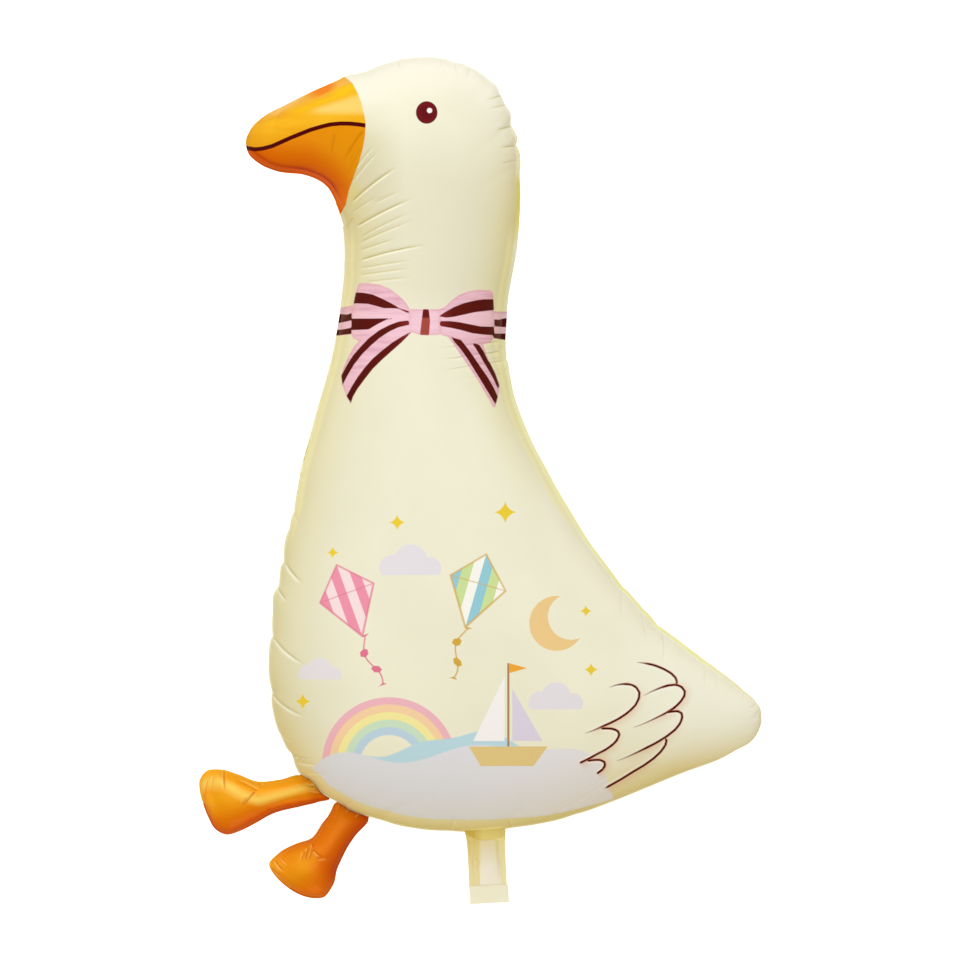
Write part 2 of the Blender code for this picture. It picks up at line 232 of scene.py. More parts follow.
def rib_faces(ribs, steps_across, first_pole, last_pole):
    """Triangles between neighbouring ribs, and fans from the poles. Also the grid's indices."""
    index = np.arange(ribs * (steps_across + 1)).reshape(ribs, steps_across + 1)
    faces = [grid_faces(index)]
    if first_pole is not None:
        pole = np.full(steps_across, first_pole)
        faces.append(np.stack([pole, index[0, :-1], index[0, 1:]], axis=1))
    pole = np.full(steps_across, last_pole)
    faces.append(np.stack([index[-1, :-1], pole, index[-1, 1:]], axis=1))
    return np.concatenate(faces), index


def membrane(points, triangles, rim):
    """The even-pressure cushion: a surface with a slope change of -2 all over and 0 on the rim.

    Each side of a triangle carries half the cotangent of the angle that faces it. The sums
    are solved by conjugate gradients, scaled by the diagonal.
    """
    count = len(points)
    load = np.zeros(count)
    starts, ends, weights = [], [], []
    for turn in range(3):
        a, b, c = (triangles[:, (turn + k) % 3] for k in range(3))
        to_b, to_c = points[b] - points[a], points[c] - points[a]
        area = np.maximum(np.abs(to_b[:, 0] * to_c[:, 1] - to_b[:, 1] * to_c[:, 0]), 1e-12)
        starts.append(b)
        ends.append(c)
        weights.append(np.sum(to_b * to_c, axis=1) / area / 2)
        load += np.bincount(a, area / 3, count)
    start, end, weight = (np.concatenate(part) for part in (starts, ends, weights))
    free = np.ones(count)
    free[rim] = 0
    diagonal = np.bincount(start, weight, count) + np.bincount(end, weight, count)
    scale = free / np.where(np.abs(diagonal) < 1e-9, 1, diagonal)

    height = np.zeros(count)
    left = load * free
    move = scale * left
    size = left @ move
    for _ in range(MEMBRANE_ROUNDS):
        flow = weight * (move[start] - move[end])
        pulled = (np.bincount(start, flow, count) - np.bincount(end, flow, count)) * free
        stride = size / (move @ pulled)
        height += stride * move
        left -= stride * pulled
        eased = scale * left
        new_size = left @ eased
        if new_size < MEMBRANE_REST * abs(load @ height):
            break
        move = eased + move * (new_size / size)
        size = new_size
    return height


def swell(height, fullness, limit):
    """Height of one sheet above the seal, levelling off towards the limit."""
    return limit * np.tanh(fullness * np.sqrt(np.maximum(height, 0)) / limit)


def line_field(points, path):
    """Three values at each point: signed distance across a path (left is plus), share of the
    way along it (below 0 and above 1 past its ends) and the true distance from it."""
    path = np.asarray(path, float)
    step = np.diff(path, axis=0)
    length = step_lengths(path)
    travelled = travel(length)
    best = np.full(len(points), np.inf)
    across = np.zeros(len(points))
    along = np.zeros(len(points))
    last = len(step) - 1
    for k in range(last + 1):
        ahead = step[k] / length[k]
        offset = points - path[k]
        forward = offset @ ahead
        side = offset[:, 1] * ahead[0] - offset[:, 0] * ahead[1]
        distance = np.hypot(side, forward - np.clip(forward, 0, length[k]))
        reached = np.clip(forward, -np.inf if k == 0 else 0, np.inf if k == last else length[k])
        nearer = distance < best
        best = np.where(nearer, distance, best)
        across = np.where(nearer, np.copysign(np.hypot(side, forward - reached), side), across)
        along = np.where(nearer, (travelled[k] + reached) / travelled[-1], along)
    return np.stack([across, along, best], axis=1)


def shape_field(points, outlines):
    """Signed distance to the nearest of several closed outlines, below 0 inside any of them."""
    nearest = np.full(len(points), np.inf)
    for outline in outlines:
        turns = np.asarray(outline, float)
        inside = np.zeros(len(points), bool)
        best = np.full(len(points), np.inf)
        for a, b in zip(turns, np.roll(turns, -1, axis=0)):
            step = b - a
            share = np.clip((points - a) @ step / (step @ step), 0, 1)
            best = np.minimum(best, np.linalg.norm(points - a - share[:, None] * step, axis=1))
            crosses = (points[:, 1] >= a[1]) != (points[:, 1] >= b[1])
            reach = a[0] + (points[:, 1] - a[1]) * step[0] / (step[1] if step[1] else 1)
            inside ^= crosses & (points[:, 0] < reach)
        nearest = np.minimum(nearest, np.where(inside, -best, best))
    return nearest


def grid_normals(places):
    """Unit normals of a (rib, step, xyz) grid, from the slopes along and across the ribs."""
    normal = np.cross(np.gradient(places, axis=0), np.gradient(places, axis=1))
    return normal / np.maximum(np.linalg.norm(normal, axis=2, keepdims=True), 1e-12)


def fold_path(x1, y1, x2, y2, bow):
    """Points along a fold: straight, or bowed to the right of it by 4 t (1 - t) times bow."""
    t = np.linspace(0, 1, 7 if bow else 2)[:, None]
    start, end = np.array([x1, y1]), np.array([x2, y2])
    right = np.array([y2 - y1, x1 - x2]) / np.hypot(x2 - x1, y2 - y1)
    return start + (end - start) * t + right * bow * 4 * t * (1 - t)


def fold_depths(points, folds):
    """How far folds press each point inwards, in metres, and the crease line in the valley.

    A valley falls off as a sharp peak less a wide bell, and fades towards both ends. The
    crease is given as the distance across the nearest fold, its depth there and the true
    distance from it.
    """
    depth = np.zeros(len(points))
    crease = np.full((len(points), 3), NO_CREASE)
    for *ends, deep, wide, bow in folds:
        across, along, away = line_field(points * 1000, fold_path(*ends, bow)).T
        shoulder = 0.35 * np.exp(-((across / wide / 1.7) ** 2))
        valley = np.exp(-np.abs(across) / wide * 1.6) - shoulder
        taper = np.clip(np.minimum(along / 0.12 + 0.3, (1 - along) / 0.45), 0, 1)
        taper *= taper * (3 - 2 * taper)
        depth += deep / 1000 * valley * taper * (along > -0.1)
        nearer = (away < crease[:, 2])[:, None]
        crease = np.where(nearer, np.stack([across, deep * taper, away], axis=1), crease)
    return depth, crease


def pinched(loop, folds):
    """A closed curve drawn in where folds start from it, gently above the fold and sharply
    below it, so that the foil between two looks like a scale."""
    inward = np.zeros(len(loop))
    for x, y, _, _, deep, wide, _ in folds:
        near = np.linalg.norm(loop * 1000 - (x, y), axis=1)
        reach = np.where(loop[:, 1] * 1000 > y, PINCH_ABOVE, PINCH_BELOW) * wide
        inward = np.maximum(inward, PINCH * deep / 1000 * np.exp(-near / reach))
    return loop - outward(loop) * inward[:, None]


def pucker_depths(stop, distance, seed, spacing, deep, reach):
    """Small puckers that run in from the seal, in metres, for places that lie at a stop along
    the seal and at a distance from it. They are bells at uneven stops, each with its own
    depth, width and reach, and fade away from the seal."""
    chance = np.random.default_rng(seed)
    places = np.cumsum(spacing * chance.uniform(0.4, 1.9, int(1.2 * stop.max() / spacing)))
    table = np.zeros((len(places), 3))
    table[:, 0] = deep * chance.uniform(0.1, 1, len(places)) ** 1.6
    table[:, 1] = reach * chance.uniform(0.4, 1.5, len(places))
    table[:, 2] = spacing * chance.uniform(0.16, 0.3, len(places))
    right = np.clip(np.searchsorted(places, stop), 1, len(places) - 1)
    total = np.zeros(stop.shape)
    for near in (right - 1, right):
        deep_here, reach_here, wide_here = np.moveaxis(table[near], -1, 0)
        bell = np.exp(-(((stop - places[near]) / wide_here) ** 2))
        total += deep_here * bell * np.exp(-((distance / reach_here) ** 1.5))
    return total


def rises(value, start, span):
    """0 up to start and 1 from start + span on, straight between. A span below 0 falls."""
    return np.clip((value - start) / span, 0, 1)


def flange_widths(loop):
    """Width of the flange all round, as a column: full behind the neck, down the back and
    under the chin, narrow elsewhere, where the swell hides its inner part. It wavers."""
    x, y = loop.T
    behind = rises(x, 0.005, 0.02) * rises(y, -0.205, 0.02) * rises(y, 0.33, -0.03)
    chin = rises(x, -0.08, -0.02) * rises(y, 0.15, 0.02) * rises(y, 0.26, -0.02)
    share = NARROW_FLANGE + (1 - NARROW_FLANGE) * np.maximum(behind, chin)
    waver = 1 - 0.16 * np.sin(x * 130 + 40 * y) * np.sin(y * 90 - 1)
    return (FLANGE_WIDTH * share * np.minimum(waver, 1))[:, None]


def touched(loop, touches):
    """A closed curve pushed out by a bell round each of a few places."""
    push = np.zeros(len(loop))
    for x, y, out, reach in touches:
        away = np.linalg.norm(loop * 1000 - (x, y), axis=1)
        push += out / 1000 * np.exp(-((away / reach) ** 2))
    return loop + outward(loop) * push[:, None]


body_edge = cut_edge(BEAK_TIP, BODY_STATIONS, TAIL_TIP, BODY_STEPS_PER_STATION)
body_low, body_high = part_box("balloon_body")
shift = np.array([body_low[0] - body_edge[:, 0].min(), body_high[1] - body_edge[:, 1].max()])
body_edge = touched(body_edge + shift, EDGE_TOUCHES)
body_seal = pinched(body_edge - outward(body_edge) * flange_widths(body_edge), BODY_FOLDS)
body_edge = pinched(body_edge, BODY_FOLDS)
seam_height = (body_high[2] - FLAT_SPOT_DEPTH) / 2
edge_first, edge_other, seal_first, seal_other = even_ribs(body_edge, body_seal, BODY_RIBS)


def seal_distance(points, seal, stride):
    """Distance of each point inside a closed seal from it."""
    return np.maximum(-shape_field(points, [seal[::stride]]), 0)


def bend_table(side, turn_sign):
    """Places along one side of the seal and how strongly the foil bulges there: the turn of
    its heading from a window behind to a window ahead."""
    step = np.diff(side, axis=0)
    travelled = travel(step_lengths(side))
    heading = np.unwrap(np.arctan2(step[:, 1], step[:, 0]))
    middle = (travelled[1:] + travelled[:-1]) / 2
    ahead, behind = (np.interp(middle + k * BEND_WINDOW, middle, heading) for k in (1, -1))
    turn = turn_sign * (ahead - behind)
    bulge = LEAST_BULGE + turn / (2 * BEND_WINDOW) / FULL_TURN
    return middle, np.clip(bulge, LEAST_BULGE, 1)


def body_sheet(side, steps_across, seed):
    """One swollen sheet: the membrane over straight ribs, with folds and puckers pressed in.

    side is 1 for the front sheet and -1 for the back, whose deepest part the floor flattens.
    Returns the points (the grid, then its two poles), the triangles, the rim's indices, the
    distances from the seal and the crease lines.
    """
    grid = rib_points(seal_first[1:-1], seal_other[1:-1], steps_across)
    count = grid.shape[0] * grid.shape[1]
    points = np.concatenate([grid.reshape(-1, 2), seal_first[:1], seal_first[-1:]])
    triangles, index = rib_faces(len(grid), steps_across, count, count + 1)
    rim = np.concatenate([[count], index[:, 0], [count + 1], index[::-1, -1]])
    height = swell(membrane(points, triangles, rim), BODY_FULLNESS, BODY_SWELL_LIMIT)
    distance = seal_distance(points, body_seal, 4)
    if side < 0:
        floor = seam_height - FOIL / 2
        close = np.maximum(FLAT_SPOT_BLEND - np.abs(height - floor), 0)
        height = np.minimum(height, floor) - close ** 2 / FLAT_SPOT_BLEND / 4
    surface = np.column_stack([points, height])
    places = surface[:count].reshape(*grid.shape[:2], 3)
    reach = distance[:count].reshape(grid.shape[:2])
    deep, crease = fold_depths(points, BODY_FOLDS)
    deep = deep[:count].reshape(reach.shape)
    far_half = np.linspace(0, 1, steps_across + 1)[None, :] > 0.5
    for far_side, ends in ((0, seal_first), (1, seal_other)):
        stop = travel(step_lengths(ends))[1:-1, None] + 0 * reach
        curl = np.interp(stop, *bend_table(ends, 1 - 2 * far_side))
        fine = pucker_depths(stop, reach, seed + far_side, *FINE_PUCKERS)
        broad = pucker_depths(stop, reach, seed + 9 + far_side, *BROAD_PUCKERS)
        deep += (far_half == far_side) * (fine + broad) * curl
    deep *= np.clip(reach / BODY_CALM, 0, 1)
    places = places - grid_normals(places) * deep[..., None]
    places[..., 2] = np.maximum(places[..., 2], 0)
    surface[:count] = places.reshape(-1, 3)
    surface[:, 2] = side * (surface[:, 2] + FOIL / 2)
    return surface, triangles[:, ::side], rim, distance, crease


def smooth_mesh(name, vertices, triangles):
    """A smooth-shaded mesh from arrays."""
    mesh = bpy.data.meshes.new(name)
    mesh.from_pydata(vertices.tolist(), [], triangles.tolist())
    mesh.shade_smooth()
    return mesh


def cushion_mesh(name, sheets, edge, height):
    """A smooth closed mesh of two sheets, each as points, triangles and rim, with the flat
    flange round them out to the cut edge, the seam plane lying at a height. Also its points.
    """
    (front, front_faces, front_rim), (back, back_faces, back_rim) = sheets
    back_rim = back_rim + len(front)
    ring = len(edge)
    above = len(front) + len(back) + np.arange(ring)
    below = above + ring
    rows = [np.column_stack([edge, np.full(ring, side * FOIL / 2)]) for side in (1, -1)]
    vertices = np.concatenate([front, back, *rows])
    vertices[:, 2] += height
    inner = [front_rim, above, below]
    outer = [above, below, back_rim]
    ahead = [[np.roll(line, -1) for line in lines] for lines in (outer, inner)]
    flange = triangle_pairs(*(np.concatenate(lines) for lines in (inner, outer, *ahead)))
    faces = np.concatenate([front_faces, back_faces + len(front), flange])
    return smooth_mesh(name, vertices, faces), vertices


def give(mesh, name, *parts):
    """Store a number or three numbers for each vertex under a name, given in parts."""
    values = np.concatenate(parts)
    kind, field = ("FLOAT", "value") if values.ndim == 1 else ("FLOAT_VECTOR", "vector")
    made = mesh.attributes.new(name, kind, "POINT")
    made.data.foreach_set(field, np.ascontiguousarray(values, np.float32).ravel())


def no_creases(count):
    """The crease values of points that lie on no fold."""
    return np.full((count, 3), NO_CREASE)


front = body_sheet(1, FRONT_STEPS, 11)
back = body_sheet(-1, BACK_STEPS, 31)
edge_ring = np.concatenate([edge_first, edge_other[-2:0:-1]])
flange_points = 2 * len(edge_ring)
sheets = (front[:3], back[:3])
body_mesh, body_points = cushion_mesh("balloon_body_foil", sheets, edge_ring, seam_height)

# Printed lines and outlines on the body, in mm from the middle of the balloon. They are
# drawn as they look from straight in front, ten metres away.
PICTURE_DISTANCE = 10.0
BEAK_ROOT = [
    (-124.1, 371), (-117.6, 365.4), (-113.3, 357.3), (-109.7, 348.3), (-107.1, 338),
    (-105.6, 328.6), (-106.2, 317.2), (-108.5, 304.5), (-112.2, 291.6), (-117.3, 277.3),
    (-121.1, 267), (-123.8, 254.1), (-127.9, 246.5),
]
MOUTH = [
    (-221.1, 308.9), (-214.9, 306.1), (-207.3, 304.8), (-200, 305.6), (-191.7, 307.8),
    (-174, 315.7), (-156.5, 322.7), (-147.5, 325.4), (-138.8, 327.6), (-129.2, 328.6),
    (-120, 328.5), (-112.6, 327.8), (-102.5, 326.3),
]
FEATHERS = [
    [
        (118.6, -190), (124.6, -187.9), (131.2, -186.8), (138.7, -187.3), (143.4, -190),
        (146.2, -194.8), (145.8, -200), (142.5, -206.5), (135.9, -213), (127.5, -218.7),
        (119, -223), (110.6, -226.6), (103, -230), (96, -232.3),
    ],
    [
        (110.6, -227.9), (117.2, -227.7), (122.8, -228.3), (126.6, -230.4), (127.7, -233.7),
        (126, -238), (121.9, -242.6), (115.2, -247.3), (106.8, -251.6), (99.3, -255.8),
        (90.9, -259.8),
    ],
    [
        (98.3, -257.6), (104.9, -256.7), (110.6, -256.7), (113.9, -258.6), (114.8, -261.4),
        (112.9, -265.2), (106.8, -269.6),
    ],
    [
        (144.3, -166.9), (151.9, -167.9), (160.3, -169.7), (168.8, -173.2), (175.3, -177),
        (179.5, -181.2), (180.7, -184.9), (180.2, -187.3),
    ],
    [
        (150, -197.6), (157.5, -193.8), (165, -190.6), (172.5, -188.2), (180, -187.5),
        (185.1, -189.6), (188, -193.8), (187.5, -198), (183.8, -203.6), (178.2, -208.9),
        (170.6, -213.6), (163.2, -217.3), (155.6, -221), (148.1, -224.3), (140.6, -227),
    ],
    [
        (170.6, -213.3), (176.2, -212.1), (181.9, -211.9), (185.1, -214), (185.6, -217.8),
        (183.8, -223), (179.1, -229), (170.6, -235.6), (161.2, -241.3), (151.9, -246),
        (142.5, -250.6), (133.1, -254.9), (125.5, -257.6),
    ],
    [
        (169.7, -236.6), (171.1, -238.9), (170.2, -243.1), (165.9, -249.2), (159.4, -255.3),
        (150.9, -261.4), (140.6, -267.5), (129.3, -274.6), (114.3, -283),
    ],
]
# Shares of each feather line over which it fades in and out
FEATHER_FADES = [
    (0.22, 0.3), (0.03, 0.03), (0.03, 0.05), (0.35, 0.02), (0.3, 0.5), (0.03, 0.45), (0.03, 0.06),
]
TOP_FEATHER = 3
BOW = [
    [
        (-112, 181.4), (-103.5, 181.9), (-92.9, 180.3), (-83.4, 176.6), (-75, 170.3),
        (-68.6, 163.9), (-65.5, 158.7), (-64.9, 157.7), (-64.4, 137.3), (-81.3, 129.5),
        (-102.5, 129.5), (-113, 129.1), (-117.2, 131.3), (-118.8, 136.5), (-118.7, 149.7),
        (-117.7, 157.7), (-116.7, 162.9), (-114.6, 173.5),
    ],
    [
        (-65.5, 157.8), (-37.4, 157.7), (-37, 134.4), (-47.3, 133.9), (-56, 134.1), (-64.4, 137.3),
    ],
    [
        (-38.1, 157.7), (-32.8, 159.8), (-26.4, 166), (-19, 171.4), (-11.6, 174), (-1.1, 175.8),
        (9.5, 175), (11.6, 171.9), (12.4, 157.7), (11.9, 141.7), (12.1, 132.3), (9.5, 127),
        (2.1, 125.4), (-9.5, 127), (-22.2, 130.2), (-37, 134.4),
    ],
    [
        (-29.6, 132.3), (-24.3, 124.9), (-17.9, 115.3), (-12.7, 108), (-8.5, 101.6), (-2.1, 92.2),
        (3.1, 82.7), (8.5, 74.2), (11.6, 67.3), (13.7, 67.9), (17.4, 83.7), (17.4, 87.9),
        (13.7, 98.5), (9.5, 107), (5.2, 116.4), (2.1, 126.7), (-9.6, 129.5),
    ],
    [
        (-64.4, 149.7), (-75, 148.4), (-92.4, 142.4), (-102.5, 138.6), (-108.8, 131.7),
        (-116.2, 123.8), (-121.4, 114.3), (-125.7, 104.9), (-128, 96.4), (-126.8, 87.4),
        (-123.5, 78.5), (-119.3, 71), (-117.2, 77.4), (-113, 84.7), (-106.7, 93.2), (-99.3, 102.7),
        (-90.8, 111.1), (-81.3, 119.6), (-72.9, 127), (-65.5, 134.4), (-62, 137.5),
    ],
    [
        (-138.3, 159.2), (-128.6, 159.2), (-117.2, 161.2), (-117.2, 134.9), (-131.8, 133.6),
        (-138.3, 133.2),
    ],
    [
        (10.7, 155.7), (23, 155.5), (29.1, 155.5), (29.1, 129), (22.6, 129.6), (10.7, 131.4),
    ],
]
BOW_STRIPES = [
    [
        (-114.6, 173.3), (-107.7, 172.9), (-99.3, 171.4), (-90.8, 167.7), (-82.4, 163.5),
        (-74, 158.5), (-65.5, 156), (-65.7, 153.5), (-76.1, 158.4), (-81.3, 158.7), (-88.7, 158.7),
        (-96.1, 160.8), (-103.5, 162.7), (-112, 163.1), (-117.3, 163.1),
    ],
    [
        (-118.5, 149.2), (-98.2, 149.2), (-87.7, 149.4), (-79.2, 149.4), (-87.7, 147.6),
        (-94, 144.4), (-99.3, 141.3), (-102.5, 139.2), (-110.9, 138.8), (-118.8, 138.6),
    ],
    [
        (-38.5, 151.3), (-32.8, 155), (-24.3, 159.8), (-14.8, 163.5), (-5.3, 165.8), (3.1, 166.9),
        (12.1, 166.9), (12.9, 157.1), (3.1, 156), (-5.3, 155), (-14.8, 152.9), (-24.3, 150.8),
        (-31.7, 150),
    ],
    [
        (-37.5, 146.9), (-28.5, 146.9), (-19, 145.8), (-9.5, 143.9), (0, 142), (12.5, 141.7),
        (12.9, 133.8), (3.1, 134.4), (-7.5, 135.7), (-17.9, 138.6), (-27.5, 140.7), (-37.5, 142.3),
    ],
    [
        (-52.8, 158), (-47.6, 158), (-46.3, 147.1), (-47.3, 133.7), (-55.7, 133.7), (-54.1, 147.1),
        (-53.5, 151.8),
    ],
    [
        (-28, 132.7), (-22.2, 130.7), (-17.9, 129.6), (-11.6, 121.7), (-6.4, 114.3), (0, 104.9),
        (7.3, 94.3), (12.7, 84.7), (16, 77.4), (14.2, 69.5), (9.5, 77.4), (3.1, 87.9),
        (-2.1, 96.4), (-6.4, 103.2), (-11.6, 111.7), (-17.9, 120.7), (-23.3, 127),
    ],
    [
        (-9, 127), (-1.1, 125.4), (3.1, 118.6), (7.3, 110.1), (11.6, 104.9), (14.8, 97.4),
        (17.7, 89.5), (16.6, 83.2), (12.7, 92.2), (8.5, 100.1), (4.2, 107), (-1.1, 116.4),
        (-5.3, 123.3),
    ],
    [
        (-65.5, 147.6), (-75, 146.5), (-83.4, 143.4), (-92.9, 138.6), (-102.5, 131.3),
        (-109.8, 123.8), (-117.2, 115.3), (-122.5, 107), (-128.2, 96.4), (-127.2, 87.2),
        (-122.5, 96.4), (-116.2, 107), (-108.8, 116.4), (-101.4, 123.8), (-92.9, 131.3),
        (-83.4, 137.5), (-75, 141.3), (-65.5, 143.4),
    ],
    [
        (-62.4, 138.2), (-72.9, 132.3), (-81.3, 127), (-90.8, 119.6), (-99.3, 112.2),
        (-106.7, 103.8), (-113, 95.3), (-118.3, 86.8), (-123.5, 77.4), (-119.3, 70.6),
        (-117.2, 77.4), (-113, 84.7), (-106.7, 93.2), (-99.3, 102.7), (-90.8, 111.1),
        (-81.3, 119.6), (-72.9, 127), (-65.5, 134.4),
    ],
    [
        (-136.5, 153.4), (-129.3, 153.4), (-122.5, 152.9), (-118.3, 154.4), (-118.6, 147.6),
        (-123.1, 146.5), (-129.9, 145.1), (-136.5, 145.1),
    ],
    [
        (-136.5, 138.7), (-131.2, 138.8), (-124.6, 139.6), (-118.6, 140.9), (-118.6, 135.2),
        (-124.6, 134.4), (-131.8, 133.4), (-136.5, 133.2),
    ],
    [
        (12.7, 148.6), (16.9, 148.1), (22.8, 149.7), (28.1, 149.7), (28.1, 141.3), (22.6, 141.3),
        (12.7, 142),
    ],
    [
        (11.8, 135.4), (28.1, 135.4), (28.1, 129.2), (22.6, 129.3), (11.6, 131.4),
    ],
]

nearness = 1 + np.abs(body_points[:, 2:] - seam_height) / PICTURE_DISTANCE
flat_places = body_points[:, :2] * nearness * 1000
on_flange = np.full(flange_points, -FLANGE_WIDTH)
give(body_mesh, "seal_distance", front[3] * 1000, back[3] * 1000, on_flange * 1000)
give(body_mesh, "crease", front[4], back[4], no_creases(flange_points))
bow_fields = [shape_field(flat_places, shapes) for shapes in (BOW, BOW_STRIPES)]
give(body_mesh, "bow", np.stack([*bow_fields, 0 * bow_fields[0]], axis=1))
for name, path in (
    ("beak_root", BEAK_ROOT), ("mouth", MOUTH),
    *((f"feather_{number}", feather) for number, feather in enumerate(FEATHERS)),
):
    give(body_mesh, name, line_field(flat_places, path))


def feed(entry, value):
    """Link a node's input to a reading, or set it to a plain value."""
    if isinstance(value, Reading):
        value.tree.links.new(value.socket, entry)
    else:
        entry.default_value = value


def node(tree, kind, inputs=None, **settings):
    """A shader node with its settings and inputs."""
    made = tree.nodes.new(kind)
    for name, value in settings.items():
        setattr(made, name, value)
    for name, value in (inputs or {}).items():
        feed(made.inputs[name], value)
    return made


def read(tree, kind, output, inputs=None, **settings):
    """A reading of one output of a new shader node."""
    return Reading(tree, node(tree, kind, inputs, **settings).outputs[output])


class Reading:
    """A number, place or colour read in a material. Sums of readings add Math nodes."""

    def __init__(self, tree, socket):
        self.tree = tree
        self.socket = socket

    def math(self, operation, *others, clamp=False):
        """A Math node on this reading and other readings or plain numbers."""
        inputs = dict(enumerate((self, *others)))
        settings = {"operation": operation, "use_clamp": clamp}
        return read(self.tree, "ShaderNodeMath", 0, inputs, **settings)

    __add__ = partialmethod(math, "ADD")
    __sub__ = partialmethod(math, "SUBTRACT")
    __mul__ = partialmethod(math, "MULTIPLY")
    __truediv__ = partialmethod(math, "DIVIDE")
    __pow__ = partialmethod(math, "POWER")
    __abs__ = partialmethod(math, "ABSOLUTE")
    least = partialmethod(math, "MINIMUM")
    most = partialmethod(math, "MAXIMUM")

    def between(self, low, high):
        """0 at low and 1 at high, with a straight slope between them."""
        if isinstance(high, Reading):
            return (self - low).math("DIVIDE", high - low, clamp=True)
        return self.math("MULTIPLY_ADD", 1 / (high - low), -low / (high - low), clamp=True)

    def inside(self, blur=0.5):
        """1 where a distance is below 0 and 0 where it is above, with a soft step."""
        return self.between(blur / 2, -blur / 2)


def vector(at, operation, other, output=0):
    """Vector Math on a place and another place or plain values."""
    return read(at.tree, "ShaderNodeVectorMath", output, {0: at, 1: other}, operation=operation)


def split(place):
    """The three numbers of a place."""
    parts = node(place.tree, "ShaderNodeSeparateXYZ", {0: place})
    return [Reading(place.tree, socket) for socket in parts.outputs]


def stored(tree, name):
    """The three numbers that a mesh carries under a name."""
    return split(read(tree, "ShaderNodeAttribute", "Vector", attribute_name=name))


def linear(red, green, blue):
    """A colour from screen values of 0 to 255, as shaders want it."""
    shares = (value / 255 for value in (red, green, blue))
    return (*(s / 12.92 if s < 0.0404 else ((s + 0.055) / 1.055) ** 2.4 for s in shares), 1)


def over(under, ink, mask):
    """An ink printed over what is under it where the mask is 1. Either may be a reading."""
    under, ink = (linear(*c) if isinstance(c, tuple) else c for c in (under, ink))
    return read(mask.tree, "ShaderNodeMix", 2, {0: mask, 6: under, 7: ink}, data_type="RGBA")


def printed(under, *inks):
    """Inks printed one over another, each given with its mask."""
    for ink, mask in inks:
        under = over(under, ink, mask)
    return under


def ramp(reading, stops, interpolation="LINEAR"):
    """A run of colours along a reading, from (place, colour) pairs in its own unit."""
    low, high = stops[0][0], stops[-1][0]
    made = node(reading.tree, "ShaderNodeValToRGB", {"Fac": reading.between(low, high)})
    made.color_ramp.interpolation = interpolation
    elements = made.color_ramp.elements
    while len(elements) < len(stops):
        elements.new(0.5)
    for element, (place, _) in zip(elements, stops):
        element.position = (place - low) / (high - low)
    for element, (_, colour) in zip(elements, stops):
        element.color = linear(*colour)
    return Reading(reading.tree, made.outputs["Color"])


def noise(at, scale, stretch=None, detail=2.0):
    """Smooth noise around 0.5 on a place, stretched if asked."""
    at = vector(at, "MULTIPLY", stretch) if stretch else at
    inputs = {"Vector": at, "Scale": scale, "Detail": detail}
    return read(at.tree, "ShaderNodeTexNoise", "Fac", inputs)


def shader_group(name, make, outputs, inputs, kinds=()):
    """A node group whose inputs are numbers, or of the kinds given for the first ones. make
    works out its outputs from its tree and the readings of its inputs."""
    group = bpy.data.node_groups.new(name, "ShaderNodeTree")
    kinds = [*kinds, *["Float"] * (len(inputs) - len(kinds))]
    for title, kind in zip(inputs, kinds):
        group.interface.new_socket(title, in_out="INPUT", socket_type="NodeSocket" + kind)
    for title in outputs:
        group.interface.new_socket(title, in_out="OUTPUT", socket_type="NodeSocketFloat")
    entry = group.nodes.new("NodeGroupInput")
    leave = group.nodes.new("NodeGroupOutput")
    made = make(group, *(Reading(group, entry.outputs[title]) for title in inputs))
    for title, reading in zip(outputs, made):
        feed(leave.inputs[title], reading)
    return group


def foil_relief_nodes(group, dents, creases):
    """Thin foil's own unevenness, as a height: soft dents, sharp short creases in patches and
    the sharp line in each fold. Also the unevenness of its gloss."""
    place = read(group, "ShaderNodeTexCoord", "Object")
    ridge = abs(noise(place, 17, (1, 0.45, 1), 3) - 0.5).between(0.035, 0)
    patch = noise(place, 8, detail=1).between(0.5, 0.66)
    across, deep, away = stored(group, "crease")
    line = abs(across).between(1.6, 0.0) ** 2.0 * deep * away.between(4.0, 3.0)
    height = noise(place, 34, detail=1) * dents - ridge * patch * creases - line * 1.4
    return height, noise(place, 5, detail=4)


def fold_shade_nodes(group, edge, core, deep_valley, far, crest, near, shallow, deep_ridge):
    """Masks for the painted shade in the valley of each fold and the painted highlight on the
    ridge to its right.
    """
    across, deep, away = stored(group, "crease")
    valley = abs(across).between(edge, core) * deep.between(0, deep_valley)
    ridge = across.between(far, crest) * across.between(-0.5, near)
    ridge = ridge * deep.between(shallow, deep_ridge)
    return valley * away.between(3.0, 2.0), ridge * away.between(4.0, 3.0)


foil_relief = shader_group(
    "foil_relief", foil_relief_nodes, ("Height", "Wear"), ("Dents", "Creases"),
)
FOLD_MARK_INPUTS = (
    "Valley Edge", "Valley Core", "Valley Full Depth", "Ridge Far Edge", "Ridge Far Crest",
    "Ridge Near Crest", "Ridge Least Depth", "Ridge Full Depth",
)
fold_shade_marks = shader_group(
    "fold_shade_marks", fold_shade_nodes, ("Valley", "Ridge"), FOLD_MARK_INPUTS,
)


def fold_shade_masks(tree, *sizes):
    """The masks of painted fold shade and highlight of one foil, with its sizes in mm in the order
    of the inputs.
    """
    inputs = dict(zip(FOLD_MARK_INPUTS, sizes))
    made = node(tree, "ShaderNodeGroup", inputs, node_tree=fold_shade_marks)
    return [Reading(tree, socket) for socket in made.outputs]


def new_material(name, finish):
    """A material whose shader has the inputs that finish makes in its tree."""
    material = bpy.data.materials.new(name)
    material.use_nodes = True
    tree = material.node_tree
    for title, value in finish(tree).items():
        feed(tree.nodes["Principled BSDF"].inputs[title], value)
    return material


